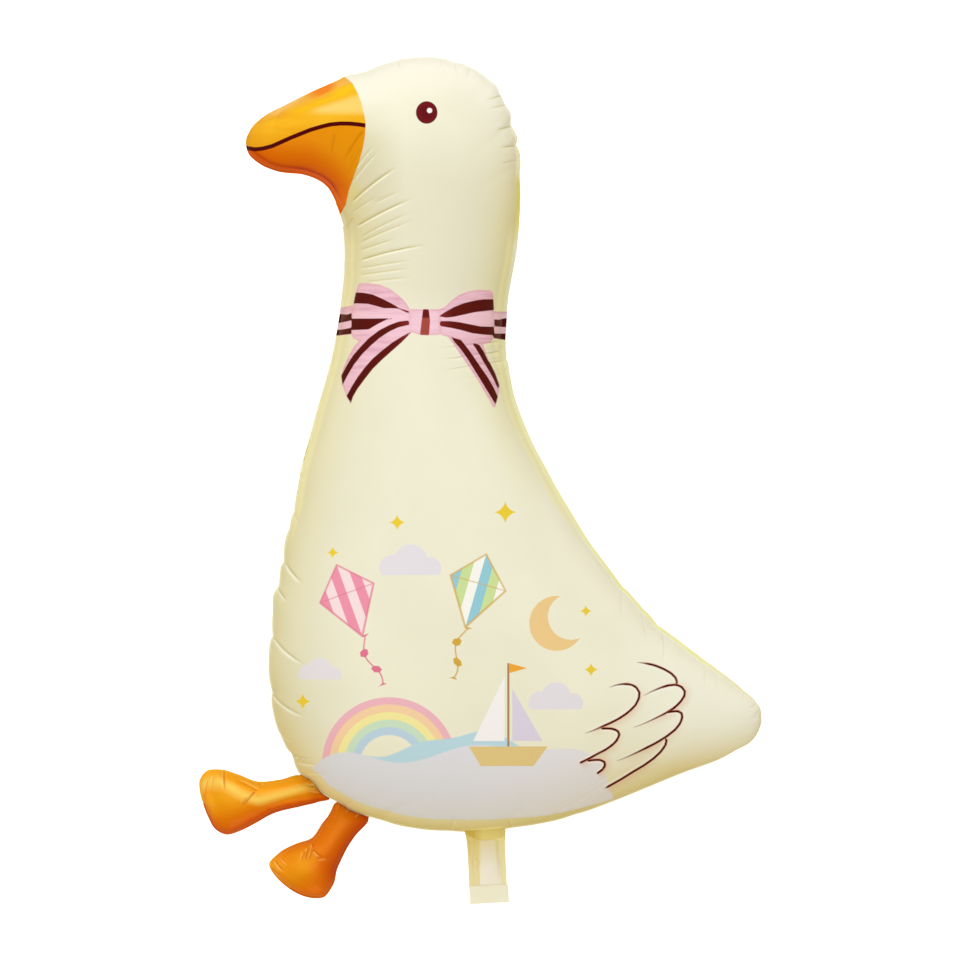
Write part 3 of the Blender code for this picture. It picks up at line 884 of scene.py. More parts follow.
def foil_material(name, colour_on, roughness, wear, dents, creases, gleam, coat, metallic):
    """Printed foil: inks with painted light and shade, uneven gloss and the relief of thin foil.
    colour_on makes the inks and the painted light and shade from the place on the piece in
    metres and the flat place in millimetres."""
    def finish(tree):
        place = read(tree, "ShaderNodeTexCoord", "Object")
        inputs = {"Dents": dents, "Creases": creases}
        relief = node(tree, "ShaderNodeGroup", inputs, node_tree=foil_relief)
        height, worn = (Reading(tree, socket) for socket in relief.outputs)
        bump = {"Height": height, "Strength": 0.5, "Distance": 0.0006}
        return {
            "Base Color": colour_on(place, vector(place, "MULTIPLY", (1000, 1000, 0))),
            "Roughness": worn * wear + (roughness - wear / 2),
            "Normal": read(tree, "ShaderNodeBump", "Normal", bump),
            "Metallic": metallic,
            "Specular IOR Level": gleam,
            "Coat Weight": coat,
            "Coat Roughness": 0.16,
        }
    return new_material(name, finish)


def disc(at, x, y, radius=0):
    """Signed distance in mm from the edge of a disc."""
    return vector(at, "DISTANCE", (x, y, 0), "Value") - radius


def run(at, x, y, angle):
    """How far a place lies from (x, y) along a direction, in mm, with the angle in degrees."""
    ahead = (math.cos(math.radians(angle)), math.sin(math.radians(angle)), 0)
    return vector(at, "DOT_PRODUCT", ahead, "Value") - (x * ahead[0] + y * ahead[1])


def corners(at, *places):
    """Signed distance in mm from a shape with straight sides, its corners anticlockwise."""
    farthest = None
    for (x1, y1), (x2, y2) in zip(places, places[1:] + places[:1]):
        side = run(at, x1, y1, math.degrees(math.atan2(y2 - y1, x2 - x1)) - 90)
        farthest = farthest.most(side) if farthest else side
    return farthest


def print_hills(x, y, edge, under):
    """Pale blue hills with grey-white ones in front: sums of two sine waves each, low at both
    ends, and ending along the seal of the belly."""
    grey = ramp(x, [(-130, (222, 224, 236)), (-20, (224, 225, 236)), (90, (232, 230, 238))])
    for middle, half, top, waves, ink in (
        (-12, 124, -238, ((9, 24, 1.9), (3, 11, 0.5)), (188, 220, 236)),
        (-20, 145, -246, ((5, 19, 2.2), (6, 41, 0.2)), grey),
    ):
        line = (abs(x - middle) / half) ** 6.0 * -34.0 + top
        for high, long, start in waves:
            line = line + (x / long + start).math("SINE") * high
        margin = (x * 0.017 + 11.5).least(x * -0.084 + 11.5)
        shape = (y - line).most(margin - edge).most(x - 114 + (y + 268) * 0.36)
        under = over(under, ink, shape.inside(1.2))
    return under


def print_rainbow(at, x, y, under):
    """A pastel rainbow: rings of ink round one middle, behind the hills."""
    ring = disc(at, x, y)
    inks = ramp(ring, [
        (27, (190, 214, 236)), (34, (203, 228, 205)), (41, (246, 236, 166)),
        (48, (247, 212, 172)), (55, (240, 184, 200)), (62, (240, 184, 200)),
    ], "CONSTANT")
    shape = (ring - 61.5).most(ring * -1.0 + 27.0).most(split(at)[1] * -1.0 + y)
    return over(under, inks, shape.inside())


def print_moon(at, x, y, under):
    """A tan crescent: one disc less another."""
    shape = disc(at, x, y, 25).most(disc(at, x + 13, y + 6, 21) * -1.0)
    return over(under, (240, 206, 146), shape.inside())


def print_boat(at, x, y, under):
    """A small sailing boat: hull, mast, two sails and a pennant, each with straight sides."""
    for ink, places in (
        ((228, 202, 140), ((-36, 0), (-25, -18), (23, -18), (36, 0))),
        ((178, 134, 96), ((-1.0, 0), (1.0, 0), (1.0, 76), (-1.0, 76))),
        ((248, 246, 250), ((-32, 5), (-3.5, 5), (-3.5, 64))),
        ((222, 214, 236), ((3.5, 5), (31, 5), (3.5, 53))),
        ((240, 170, 60), ((1.0, 67), (17, 71.5), (1.0, 76))),
    ):
        shape = corners(at, *((x + a, y + b) for a, b in places))
        under = over(under, ink, shape.inside())
    return under


def print_kite(at, x, y, tilt, inks, tail_ink, under):
    """A striped kite: a long diamond with bands across it, a spar and a waving tail."""
    across = run(at, x, y, tilt) * 0.8
    up = run(at, x, y, tilt + 90) * 0.8
    stretch = up.most(0.0) * 0.046 + up.least(0.0) * -0.030
    diamond = (abs(across) * 0.048 + stretch - 1.0) * 14.0
    bands = [(-21 + 7 * k, inks[k % len(inks)]) for k in range(7)]
    rim = (abs(diamond) - 0.6).least((abs(up) - 0.35).most(diamond))
    wave = abs(across - (up / 6.0).math("SINE") * 3.2)
    cycle = (up / 14.0 + 0.5).math("FRACT")
    bows = cycle.between(0.5, 0.36).least(cycle.between(0.0, 0.14))
    tail = (wave - 0.5).least(wave - bows * 3.4 + 0.4)
    length = (up + 33.0).most(up * -1.0 - 72.0)
    return printed(
        under,
        (ramp(across, bands, "CONSTANT"), diamond.inside()),
        (tail_ink, rim.inside() * 0.75),
        (tail_ink, tail.most(length).inside(0.7)),
    )


def sparkle_nodes(group, at, middle, size):
    """A four-pointed sparkle: x and y, each to the power 0.6, add up to less than size is."""
    x, y, _ = split(vector(at, "SUBTRACT", middle))
    return [((abs(x) ** 0.6 + abs(y) ** 0.6) ** (1 / 0.6) - size).inside(0.8)]


def cloud_nodes(group, at, middle, size):
    """A little cloud: three discs over a flat base, in shares of its size."""
    at = vector(vector(at, "SUBTRACT", middle), "DIVIDE", size)
    left, top, right = ((-0.52, -0.02, 0.34), (-0.02, 0.14, 0.46), (0.5, -0.04, 0.3))
    puffs = disc(at, *left).least(disc(at, *top)).least(disc(at, *right))
    return [(puffs.most(run(at, 0, -0.22, 270)) * size).inside(0.8)]


sparkle_print, cloud_print = (
    shader_group(name, make, ("Mask",), ("At", "Middle", "Size"), ("Vector", "Vector"))
    for name, make in (("sparkle_print", sparkle_nodes), ("cloud_print", cloud_nodes))
)
SPARKLES = [
    (-75.8, -37.9, 8), (-134.7, -65.5, 6), (22.6, -28.7, 11), (100.8, -172.2, 7),
    (-162.3, -201.6, 8), (96.2, -118.8, 6),
]
CLOUDS = [
    (-62.9, -78.4, 34), (69.5, -201.6, 30), (-145.7, -175.9, 24),
]


def print_small(at, group, places, ink, strength, under):
    """The same small shape printed at several places, each (x, y, size)."""
    for x, y, size in places:
        inputs = {"At": at, "Middle": (x, y, 0), "Size": size}
        mask = read(at.tree, "ShaderNodeGroup", "Mask", inputs, node_tree=group)
        under = over(under, ink, mask * strength)
    return under


def print_beak_with_painted_shine(at, x, y, edge, under):
    """The beak: gold above the mouth line with painted highlights along the upper edge, as pale
    streaks, a band and a glint, orange below it with a red stripe just inside the lower edge and
    painted light at its lower end, and the dark mouth line."""
    root = stored(at.tree, "beak_root")[0]
    mouth = stored(at.tree, "mouth")[0]
    # Streaks: a paler painted sheen on the gold, and a waver in the highlights and the lower edge.
    streaks = noise(at, 0.05, (0.35, 1.6, 1), 3) * 8.0
    upper_edge_highlight = ramp(edge + streaks - 4.0, [
        (0, (250, 184, 62)), (5, (251, 190, 88)), (8, (247, 190, 36)), (12, (250, 202, 20)),
        (15, (245, 188, 36)), (22, (246, 190, 42)), (33, (243, 184, 38)), (42, (242, 176, 30)),
    ])
    # Painted highlights: a pale band and a glint near the upper edge.
    band = (x * 0.16 + 26.9 - abs(y - x * 0.14 - 360.0)).between(-2, 3.5)
    glint = (edge - 2.4).inside(3) * x.between(-202, -186) * x.between(-156, -170)
    upper = printed(
        (240, 170, 30),
        ((247, 185, 38), streaks.between(3, 5.4)),
        (upper_edge_highlight, (x + streaks * 4.0).between(-176, -110)),
        ((252, 212, 116), band * x.between(-160, -146) * (streaks * 0.06 + 0.7)),
        ((253, 202, 122), glint * 0.85),
        ((250, 138, 18), disc(at, -145.7, 361.3).between(16, 6) * edge.between(7.6, 5.4)),
        ((238, 160, 14), mouth.between(11, 2) * x.between(-146, -168) * 0.6),
    )
    lower = printed(
        ramp(edge + streaks * 0.25 - 1.0, [
            (-2, (238, 104, 0)), (2.4, (228, 90, 0)), (3.3, (190, 50, 0)), (4.2, (202, 69, 0)),
            (5.6, (218, 98, 0)), (8, (225, 107, 2)), (18, (226, 120, 6)), (32, (231, 141, 12)),
        ]),
        ((212, 92, 0), edge.between(5.4, 3.6) * x.between(-166, -186) * 0.6),
        ((227, 145, 8), x.between(-158, -112) * edge.between(10, 28) * 0.9),
        # Painted light at the lower end of the beak, where it lies in shade.
        ((247, 124, 0), y.between(270, 256) * 0.8),
    )
    ink = over(lower, upper, mouth.between(-0.3, 0.3))
    ink = over(ink, (80, 3, 8), (abs(mouth) - 1.9).inside())
    return over(under, ink, root.inside())


def print_eye(at, x, y, under):
    """The eye: a dark red-brown oval with a paler rim and one small white glint."""
    wide, tall = 1.02, 0.965
    far = disc(vector(at, "MULTIPLY", (wide, tall, 1)), x * wide, y * tall)
    iris = ramp(far, [
        (0, (98, 13, 20)), (5, (102, 14, 22)), (8.4, (114, 20, 26)), (10, (92, 14, 20)),
    ])
    glint = disc(at, x + 2.6, y + 1.8, 2.4).inside(0.8)
    return printed(under, (iris, (far - 10).inside()), ((250, 246, 246), glint))


def print_feathers(tree, under):
    """Seven wing feathers: dark lines with a red fringe, fading at their free ends, with a
    pale line inside and, but for the topmost, a breath of pink outside."""
    for number, (start, finish) in enumerate(FEATHER_FADES):
        across, along, away = stored(tree, f"feather_{number}")
        full = along.between(0, start * 0.7).least(along.between(1, 1 - finish * 0.7))
        here = along.between(-0.01, 0.01) * along.between(1.01, 0.99) * away.between(9, 8)
        if number != TOP_FEATHER:
            glow = across.between(8.5, 0.5) * across.between(-0.4, 0.6) * full * here
            under = over(under, (226, 186, 156), glow * along.between(0.22, 0.5) * 0.5)
        pale = across.between(-3.4, -1.6) * across.between(-0.2, -1.0) * full * here
        red = (abs(across) - full * 0.85 - 0.45).inside(0.8) * here * full
        line = (abs(across) - full * 0.44 - 0.32).inside(0.4) * here
        under = printed(
            under,
            ((250, 253, 246), pale * 0.85),
            ((196, 84, 52), red * 0.8),
            ((54, 4, 0), line * (full * 0.6 + 0.4)),
        )
    return under


def print_bow(at, x, y, under):
    """The ribbon bow: pink with dark brown stripes, creased towards the knot."""
    bow, stripes, _ = stored(at.tree, "bow")
    cut = bow.inside(0.9)
    beside_knot = abs(x + 51.3)
    pink = printed(
        ramp(noise(at, 0.16, (0.22, 1.9, 1), 3), [
            (0.3, (222, 168, 192)), (0.46, (235, 188, 208)), (0.6, (239, 195, 214)),
            (0.75, (244, 204, 220)),
        ]),
        ((252, 214, 232), y.between(130, 138) * y.between(158, 152) * 0.5),
        ((228, 164, 178), bow.between(-2.2, -0.4) * 0.5),
    )
    brown = ramp(beside_knot, [(15, (128, 40, 38)), (26, (96, 26, 20)), (70, (84, 18, 14))])
    knot_stripe = over((108, 24, 24), (166, 74, 66), (y - 148.8).between(1, -1))
    brown = over(brown, knot_stripe, (beside_knot - 8).inside(1))
    return printed(under, (pink, cut), (brown, stripes.inside(0.6).least(cut)))


def body_print_and_painted_shade(place, at):
    """Everything printed on the cream foil, from the ground colour up, with painted shade on the
    neck, in the throat, along the left flank, in the folds and towards the seal, and painted
    light and reflection along parts of the rim and flange.
    """
    tree = at.tree
    x, y, _ = split(at)
    edge = read(tree, "ShaderNodeAttribute", "Fac", attribute_name="seal_distance")
    # Painted shade: in the throat under the beak, and down the left flank of the body.
    throat_shade = x.between(-68, -126) * y.between(185, 275) * y.between(348, 312)
    flank_shade = edge.between(85, 30) * x.between(-15, -60) * y.between(150, 60)
    # Painted shade towards the seal, darker and more olive towards the bottom and pale up at the
    # crown, as light falls from above.
    rim = ramp(y, [
        (-350, (214, 193, 80)), (-270, (228, 211, 138)), (-150, (236, 230, 188)),
        (80, (238, 232, 186)), (240, (236, 228, 170)), (300, (246, 242, 222)),
        (345, (254, 253, 248)),
    ])
    # Painted light that lifts that shade behind the neck and down the back.
    behind = x.between(20, 60) * y.between(-264, -222) * y.between(170, 110)
    # Painted light: a paler band just inside the seal between the belly and the neck.
    light = edge.between(7.5, 4.5) * y.between(-60, -20) * y.between(240, 215)
    # Painted light and reflection on the flange behind the nape: pale, with a bright yellow band
    # behind the neck.
    yellow = ramp(y, [
        (-100, (250, 247, 186)), (120, (252, 250, 206)), (214, (254, 251, 226)),
        (236, (246, 236, 150)), (250, (238, 225, 112)), (272, (238, 225, 112)),
        (284, (250, 245, 204)),
    ])
    nape = x.between(15, 30) * y.between(-200, -185) * y.between(320, 290) * x.between(225, 200)
    # Painted shade of crinkles on the flange at the left of the body.
    crimp_shade = noise(place, 210, detail=1).between(0.42, 0.62) * x.between(-140, -150)
    # The flange, painted paler where the swell shades it, with the painted nape reflection and
    # crinkle shade.
    flange = printed(
        ramp(y, [
            (-350, (248, 234, 182)), (-240, (248, 242, 206)), (0, (252, 248, 212)),
            (290, (248, 241, 196)), (335, (250, 248, 232)),
        ]),
        (yellow, nape),
        ((214, 208, 140), crimp_shade * y.between(-14, 0) * y.between(44, 30) * 0.8),
    )
    # Painted light over the dark line where the seal of the body meets the filler tab.
    tab_root_painted_light = x.between(-16, -8) * x.between(26, 18) * y.between(-300, -314)
    # Painted shade in the valley of each fold and a painted highlight on the ridge beside it.
    valley, ridge = fold_shade_masks(tree, 1.1, 0.3, 1.6, -3.0, -1.7, -1.2, 0.3, 1.8)
    ground = printed(
        (243, 241, 222),
        ((237, 235, 215), noise(place, 9, detail=3).between(0.35, 0.7)),
        # Painted shade down the neck, in the throat, by the root of the beak and along the left
        # flank.
        ((223, 218, 195), y.between(130, 180) * y.between(325, 275) * 0.5),
        ((188, 174, 104), throat_shade * 0.55),
        ((218, 203, 112), disc(at, -118, 262).between(14, 5) * 0.75),
        ((216, 211, 182), flank_shade * y.between(-290, -230) * 0.34),
        # Painted shade and light towards the seal; painted light at the bottom of the tail and in
        # the band inside the seal.
        (over(rim, (254, 252, 240), behind), edge.between(44, 0) ** 1.6 * 0.8),
        ((250, 250, 238), x.between(120, 175) * y.between(-256, -222) * 0.6),
        ((255, 251, 202), light * 0.75),
        (flange, edge.between(0.3, -0.2)),
        ((250, 238, 176), tab_root_painted_light * edge.between(3.0, 0.5) * 0.9),
        # Painted shade in the fold valleys and painted highlights on their ridges.
        ((214, 200, 108), valley * (y.between(120, 180) * 0.4 + 0.2)),
        ((254, 253, 242), ridge * 0.75),
    )
    ground = print_rainbow(at, -83.2, -258.7, ground)
    ground = print_moon(at, 69.5, -129.9, ground)
    ground = print_small(at, cloud_print, CLOUDS, (230, 226, 238), 0.95, ground)
    ground = print_hills(x, y, edge, ground)
    ground = print_boat(at, 25.4, -242.1, ground)
    pinks = [(240, 150, 178), (250, 226, 232)]
    greens = [(150, 206, 224), (206, 226, 160), (250, 250, 246)]
    ground = print_kite(at, -121.8, -102.3, 20, pinks, (226, 120, 150), ground)
    ground = print_kite(at, -2.2, -93.1, -16, greens, (214, 170, 66), ground)
    ground = print_small(at, sparkle_print, SPARKLES, (238, 208, 60), 1.0, ground)
    ground = print_feathers(tree, ground)
    ground = print_eye(at, -49.1, 336.6, ground)
    ground = print_beak_with_painted_shine(at, x, y, edge, ground)
    return print_bow(at, x, y, ground)


def add_object(name, mesh, material):
    """Put a mesh into the scene as an object, with its material."""
    mesh.materials.append(material)
    made = bpy.data.objects.new(name, mesh)
    bpy.context.scene.collection.objects.link(made)
    return made


cream_foil = foil_material(
    "printed_cream_foil", body_print_and_painted_shade, roughness=0.40, wear=0.12, dents=0.5, creases=0.5,
    gleam=0.03, coat=0.0, metallic=0.0,
)
body = add_object("goose_body", body_mesh, cream_foil)
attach(body, "root")
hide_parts("balloon_body")


# The filler tab
#
# A flat strip of the same cream foil, left open at its end for the gas. It hangs from the
# seal below the belly, with an inflated channel down its middle and a plain end piece.

TAB_WIDTH = 0.0345
TAB_LENGTH = 0.067
TAB_THICKNESS = 0.0011
TAB_ROOT = 0.010
TAB_ROOT_FLARE = 0.0015
TAB_ROOT_SHIFT = 0.0004
TAB_ROOT_FADE = 0.007
TAB_LEAN = 0.045
TAB_END_LENGTH = 0.019
TAB_END_FLARE = 0.0007
TAB_END_SHIFT = 0.0006
TAB_END_CUT = 0.0016
TAB_END_STEP = 0.0006
CHANNEL_MIDDLE = 0.13
CHANNEL_HALF_WIDTH = 0.5
CHANNEL_HEIGHT = 0.0021
CHANNEL_FADE = 0.008
DOME_LENGTH = 0.0075
DOME_HEIGHT = 0.0030
WELT_HEIGHT = 0.0005
WELT_WIDTH = 0.0009
RIPPLE_HEIGHT = 0.00022
RIPPLE_RATE = 1450
WRINKLE_HEIGHT = 0.00030
WRINKLE_RATE = 900
TAB_SIDE_EASE = 0.03
TAB_END_EASE = 0.0008
TAB_FOOT = (0.0083 * HEIGHT + shift[0], 0.086 * HEIGHT + shift[1])
TAB_STEPS_DOWN = 150
TAB_STEPS_ACROSS = 70


def tab_surfaces():
    """Front and back of the tab over (down, across), -1 to 1 across.

    The channel is a round-topped bump that dies out above the end piece, and starts in a
    dome where the body swells out into it. Thin ripples, sines across a waving line, run
    down the side strips and lie across the end piece, and a low welt parts the two.
    """
    down = np.linspace(-TAB_ROOT, TAB_LENGTH, TAB_STEPS_DOWN)[:, None]
    across = np.linspace(-1, 1, TAB_STEPS_ACROSS)[None, :]
    shoulder = TAB_LENGTH - TAB_END_LENGTH
    end = rises(down, shoulder, TAB_END_STEP)
    root = np.exp(-np.maximum(down, 0) / TAB_ROOT_FADE)
    half = TAB_WIDTH / 2 + TAB_END_FLARE * end + TAB_ROOT_FLARE * root
    x = TAB_FOOT[0] + across * half + TAB_LEAN * down
    x = x - TAB_ROOT_SHIFT * root + TAB_END_SHIFT * end
    below = rises(down, shoulder, TAB_END_LENGTH)
    y = TAB_FOOT[1] - down + below * TAB_END_CUT * (1 + 0.6 * across)
    middle = across - CHANNEL_MIDDLE
    channel = np.sqrt(np.clip(1 - (middle / CHANNEL_HALF_WIDTH) ** 2, 0, 1))
    channel = channel * rises(down, shoulder, -CHANNEL_FADE) * CHANNEL_HEIGHT
    dome = np.clip(1 - (down / DOME_LENGTH) ** 2, 0, 1) * np.clip(1 - across ** 2, 0, 1)
    bulge = np.maximum(channel, DOME_HEIGHT * np.sqrt(dome))
    strips = rises(np.abs(middle), CHANNEL_HALF_WIDTH, 0.1) * (1 - end)
    ripple = RIPPLE_HEIGHT * np.sin(x * RIPPLE_RATE + np.sin(y * 210) * 1.3) * strips
    wrinkle = np.sin(y * WRINKLE_RATE + np.sin(x * 170) * 1.2) * np.sin(x * 120 + 1) * end
    welt = WELT_HEIGHT * np.exp(-(((down - shoulder - TAB_END_STEP) / WELT_WIDTH) ** 2))
    edge = rises(np.abs(across), 1, -TAB_SIDE_EASE) * rises(down, TAB_LENGTH, -TAB_END_EASE)
    relief = (ripple + WRINKLE_HEIGHT * wrinkle) * edge
    skin = TAB_THICKNESS / 2 * (0.55 + 0.45 * edge)
    heights = (skin + (bulge + welt) * edge + relief, -skin - bulge * edge * 0.8 + relief)
    return [np.stack([x, y, seam_height + height], axis=2) for height in heights]


def closed_pair(top, bottom):
    """One closed mesh from two grids with the same rim: both faces and the strip round them."""
    index = np.arange(top[..., 0].size).reshape(top.shape[:2])
    upper = grid_faces(index)
    rim = np.concatenate([index[:-1, 0], index[-1, :-1], index[:0:-1, -1], index[0, :0:-1]])
    ahead = np.roll(rim, -1)
    side = triangle_pairs(rim, rim + index.size, ahead + index.size, ahead)
    faces = np.concatenate([upper, upper[:, ::-1] + index.size, side])
    return np.concatenate([top.reshape(-1, 3), bottom.reshape(-1, 3)]), faces


def tab_print_and_painted_shade(place, at):
    """Cream foil that is yellower in the side strips and paler in the end piece, with the painted
    shade of two faint creases, painted shade at its top under the body, a painted shadow under
    the body's swell and olive painted shade where the body swells into it."""
    tilt = math.degrees(math.atan(TAB_LEAN))
    foot = [1000 * value for value in TAB_FOOT]
    across, down = run(at, *foot, tilt), run(at, *foot, tilt - 90)
    mottle = noise(place, 60, (1, 0.4, 1))
    strip = (abs(across - 2.6) + mottle * 1.6 - down * 0.04 - 8.8).between(-0.8, 0.8)
    right = across.between(4, 12)
    # Painted shade at the top of the tab, under the edge of the body.
    tab_root_shade = over((232, 212, 128), (246, 232, 152), right)
    # Painted shade of two faint creases, a straight one and a round one.
    straight = abs(across - 9.0 - down * 0.06) - 1.0
    round_crease_shade = abs((across + 10.2) ** 2.0 * 2.4 + (down - 28.0) ** 2.0 - 20.0) - 4.0
    # Painted shadow along the lower edge of the body's swell, and olive painted shade over the
    # swell, darker at the left.
    bay = down - 7.4 + (across - 3.0) ** 2.0 * 0.016
    olive = over((237, 221, 140), (218, 190, 84), across.between(-3, -12))
    return printed(
        (252, 247, 234),
        ((246, 232, 176), strip),
        (tab_root_shade, down.between(32, 6) * (strip * 0.25 + 0.55)),
        ((252, 244, 196), right * strip * down.between(4, 14) * 0.6),
        ((222, 210, 110), straight.inside(2) * down.between(48, 20) * 0.4),
        ((228, 196, 128), round_crease_shade.inside(3) * 0.35),
        ((214, 180, 98), bay.between(1.6, 0.4) * across.between(3, -6) * 0.7),
        (olive, bay.inside(1)),
        ((250, 247, 225), down.between(47.5, 49.5)),
        ((226, 214, 166), (abs(down - 48.2 - mottle * 0.8) - 0.5).inside(1) * 0.6),
    )


tab_points, tab_faces = closed_pair(*tab_surfaces())
tab_mesh = smooth_mesh("filler_tab_foil", tab_points, tab_faces)
give(tab_mesh, "crease", no_creases(len(tab_points)))
tab_foil = foil_material(
    "cream_tab_foil", tab_print_and_painted_shade, roughness=0.38, wear=0.12, dents=0.8, creases=0.6,
    gleam=0.2, coat=0.1, metallic=0.0,
)
tab = add_object("filler_tab", tab_mesh, tab_foil)
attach(tab, "root")


# The two legs
#
# Small cushions of glossy orange foil, each a tube that widens to a webbed foot. Their open
# hip ends are sealed on behind the flange of the body.

LEG_FLANGE_WIDTH = 0.0015
LEG_LAP = 0.0030
HIP_CLEARANCE = 0.0005
LEG_GAP = 0.0003
LEG_FULLNESS = 0.92
LEG_SWELL_LIMIT = HEIGHT / 20
LEG_LENGTH = 0.13
LEG_PUCKERS = (0.006, 0.0006, 0.007)
LEG_CALM = 0.0015
LEG_RIBS_PER_STATION = 22
LEG_STEPS_ACROSS = 56
BACK_SEED_STEP = 5

# From the hip to the toes: upper edge, then lower edge
FRONT_HIP = (-0.192, 0.139)
FRONT_TOES = (-0.325, 0.120)
FRONT_LEG_STATIONS = [
    (-0.21, 0.153, -0.176, 0.126), (-0.234, 0.148, -0.207, 0.117), (-0.262, 0.146, -0.244, 0.107),
    (-0.283, 0.154, -0.262, 0.097), (-0.305, 0.16, -0.282, 0.087), (-0.321, 0.158, -0.297, 0.083),
    (-0.329, 0.147, -0.31, 0.089), (-0.329, 0.136, -0.319, 0.104),
]
REAR_HIP = (-0.148, 0.110)
REAR_TOES = (-0.223, 0.019)
REAR_LEG_STATIONS = [
    (-0.166, 0.119, -0.13, 0.102), (-0.179, 0.1, -0.146, 0.081), (-0.195, 0.079, -0.159, 0.063),
    (-0.216, 0.072, -0.168, 0.043), (-0.236, 0.061, -0.173, 0.023), (-0.247, 0.047, -0.183, 0.009),
    (-0.244, 0.04, -0.195, 0.008), (-0.236, 0.03, -0.208, 0.011),
]
FRONT_LEG_FOLDS = [
    (-235.8, -266, -234.9, -286.2, 1.2, 2.4, 0), (-245, -271.5, -246.9, -286.2, 0.7, 2.0, 0.6),
    (-250.6, -275.2, -253.3, -289.9, 0.6, 1.8, 0.5), (-207.3, -285.3, -219.3, -301, 1.3, 1.7, 0),
    (-214.7, -290.8, -220.2, -299.1, 0.7, 1.6, 0), (-204.6, -284.4, -226.7, -274.3, 0.9, 2.2, 0.8),
    (-200.9, -280.7, -210.1, -272.4, 0.7, 1.8, 0), (-152.1, -274.3, -163.2, -275.2, 1.2, 1.7, 0),
    (-151.2, -281.6, -162.3, -279.8, 1.2, 1.7, 0), (-154, -268.8, -164.1, -272.4, 0.8, 1.6, 0),
    (-148.5, -288.1, -160.4, -286.2, 0.9, 1.8, 0), (-252.4, -297.3, -246.9, -310.2, 0.6, 2.0, 0),
]
REAR_LEG_FOLDS = [
    (-158.6, -337.8, -161.3, -350.6, 1.1, 1.6, 0), (-154.9, -338.7, -157.7, -350.6, 0.9, 1.6, 0),
    (-154.9, -333.2, -140.2, -347, 1.3, 2.0, 3.4), (-162.3, -341.4, -165, -350.6, 0.7, 1.6, 0),
    (-149.4, -347, -134.7, -346, 0.7, 1.8, 0), (-188.9, -348.8, -178.8, -359.8, 1.1, 1.7, 0.8),
    (-191.7, -356.2, -180.7, -365.3, 0.9, 1.7, 0.6), (-183.4, -346, -175.1, -354.3, 0.8, 1.7, 0),
    (-118.1, -299.1, -123.6, -308.3, 1.0, 1.8, 0), (-108.9, -304.6, -115.4, -312, 1.0, 1.8, 0),
    (-127.3, -295.4, -131, -304.6, 0.7, 1.8, 0),
]
LEG_TOUCHES = [
    (-129.2, -346, 1.5, 14), (-134.7, -367.2, 1.1, 10), (-144.8, -319.4, 2, 15),
    (-131.9, -296.4, 2, 6), (-146.6, -295.4, -1.2, 7),
]


def edge_places(loop, first, last, inset):
    """Even places on a closed curve between those nearest to two points, one for each end of
    a step across the leg, and the outward normals there. The inset keeps the outer places
    short of the two points."""
    step = np.diff(loop, axis=0)
    length = step_lengths(loop)
    travelled = travel(length)
    ends = []
    for point in (first, last):
        share = np.clip(np.sum((point - loop[:-1]) * step, axis=1) / length ** 2, 0, 1)
        spots = loop[:-1] + step * share[:, None]
        nearest = np.argmin(np.linalg.norm(spots - point, axis=1))
        ends.append(travelled[nearest] + share[nearest] * length[nearest])
    inward = np.sign(ends[1] - ends[0]) * inset
    stops = np.linspace(ends[0] + inward, ends[1] - inward, LEG_STEPS_ACROSS + 1)
    return [taken_at(stops, travelled, columns) for columns in (loop, outward(loop))]


def leg_edges(hip, stations, toes):
    """The cut edge and the seal of a leg, whose blunt hip end follows the edge of the body.
    Each starts with the points inside the hip line, then runs round the leg."""
    steps = LEG_RIBS_PER_STATION
    loop = touched(cut_edge(hip, stations, toes, steps) + shift, LEG_TOUCHES)
    curves = []
    sides = slice(steps, len(loop) - steps + 1)
    for curve, inset, out in (
        (loop, 0, -LEG_LAP),
        (loop - outward(loop) * LEG_FLANGE_WIDTH, LEG_FLANGE_WIDTH, HIP_CLEARANCE),
    ):
        places, normals = edge_places(body_edge, loop[sides][-1], loop[steps], inset)
        hip_line = places + normals * out
        curves.append(np.concatenate([hip_line[1:], curve[sides][1:-1], hip_line[:1]]))
    return curves


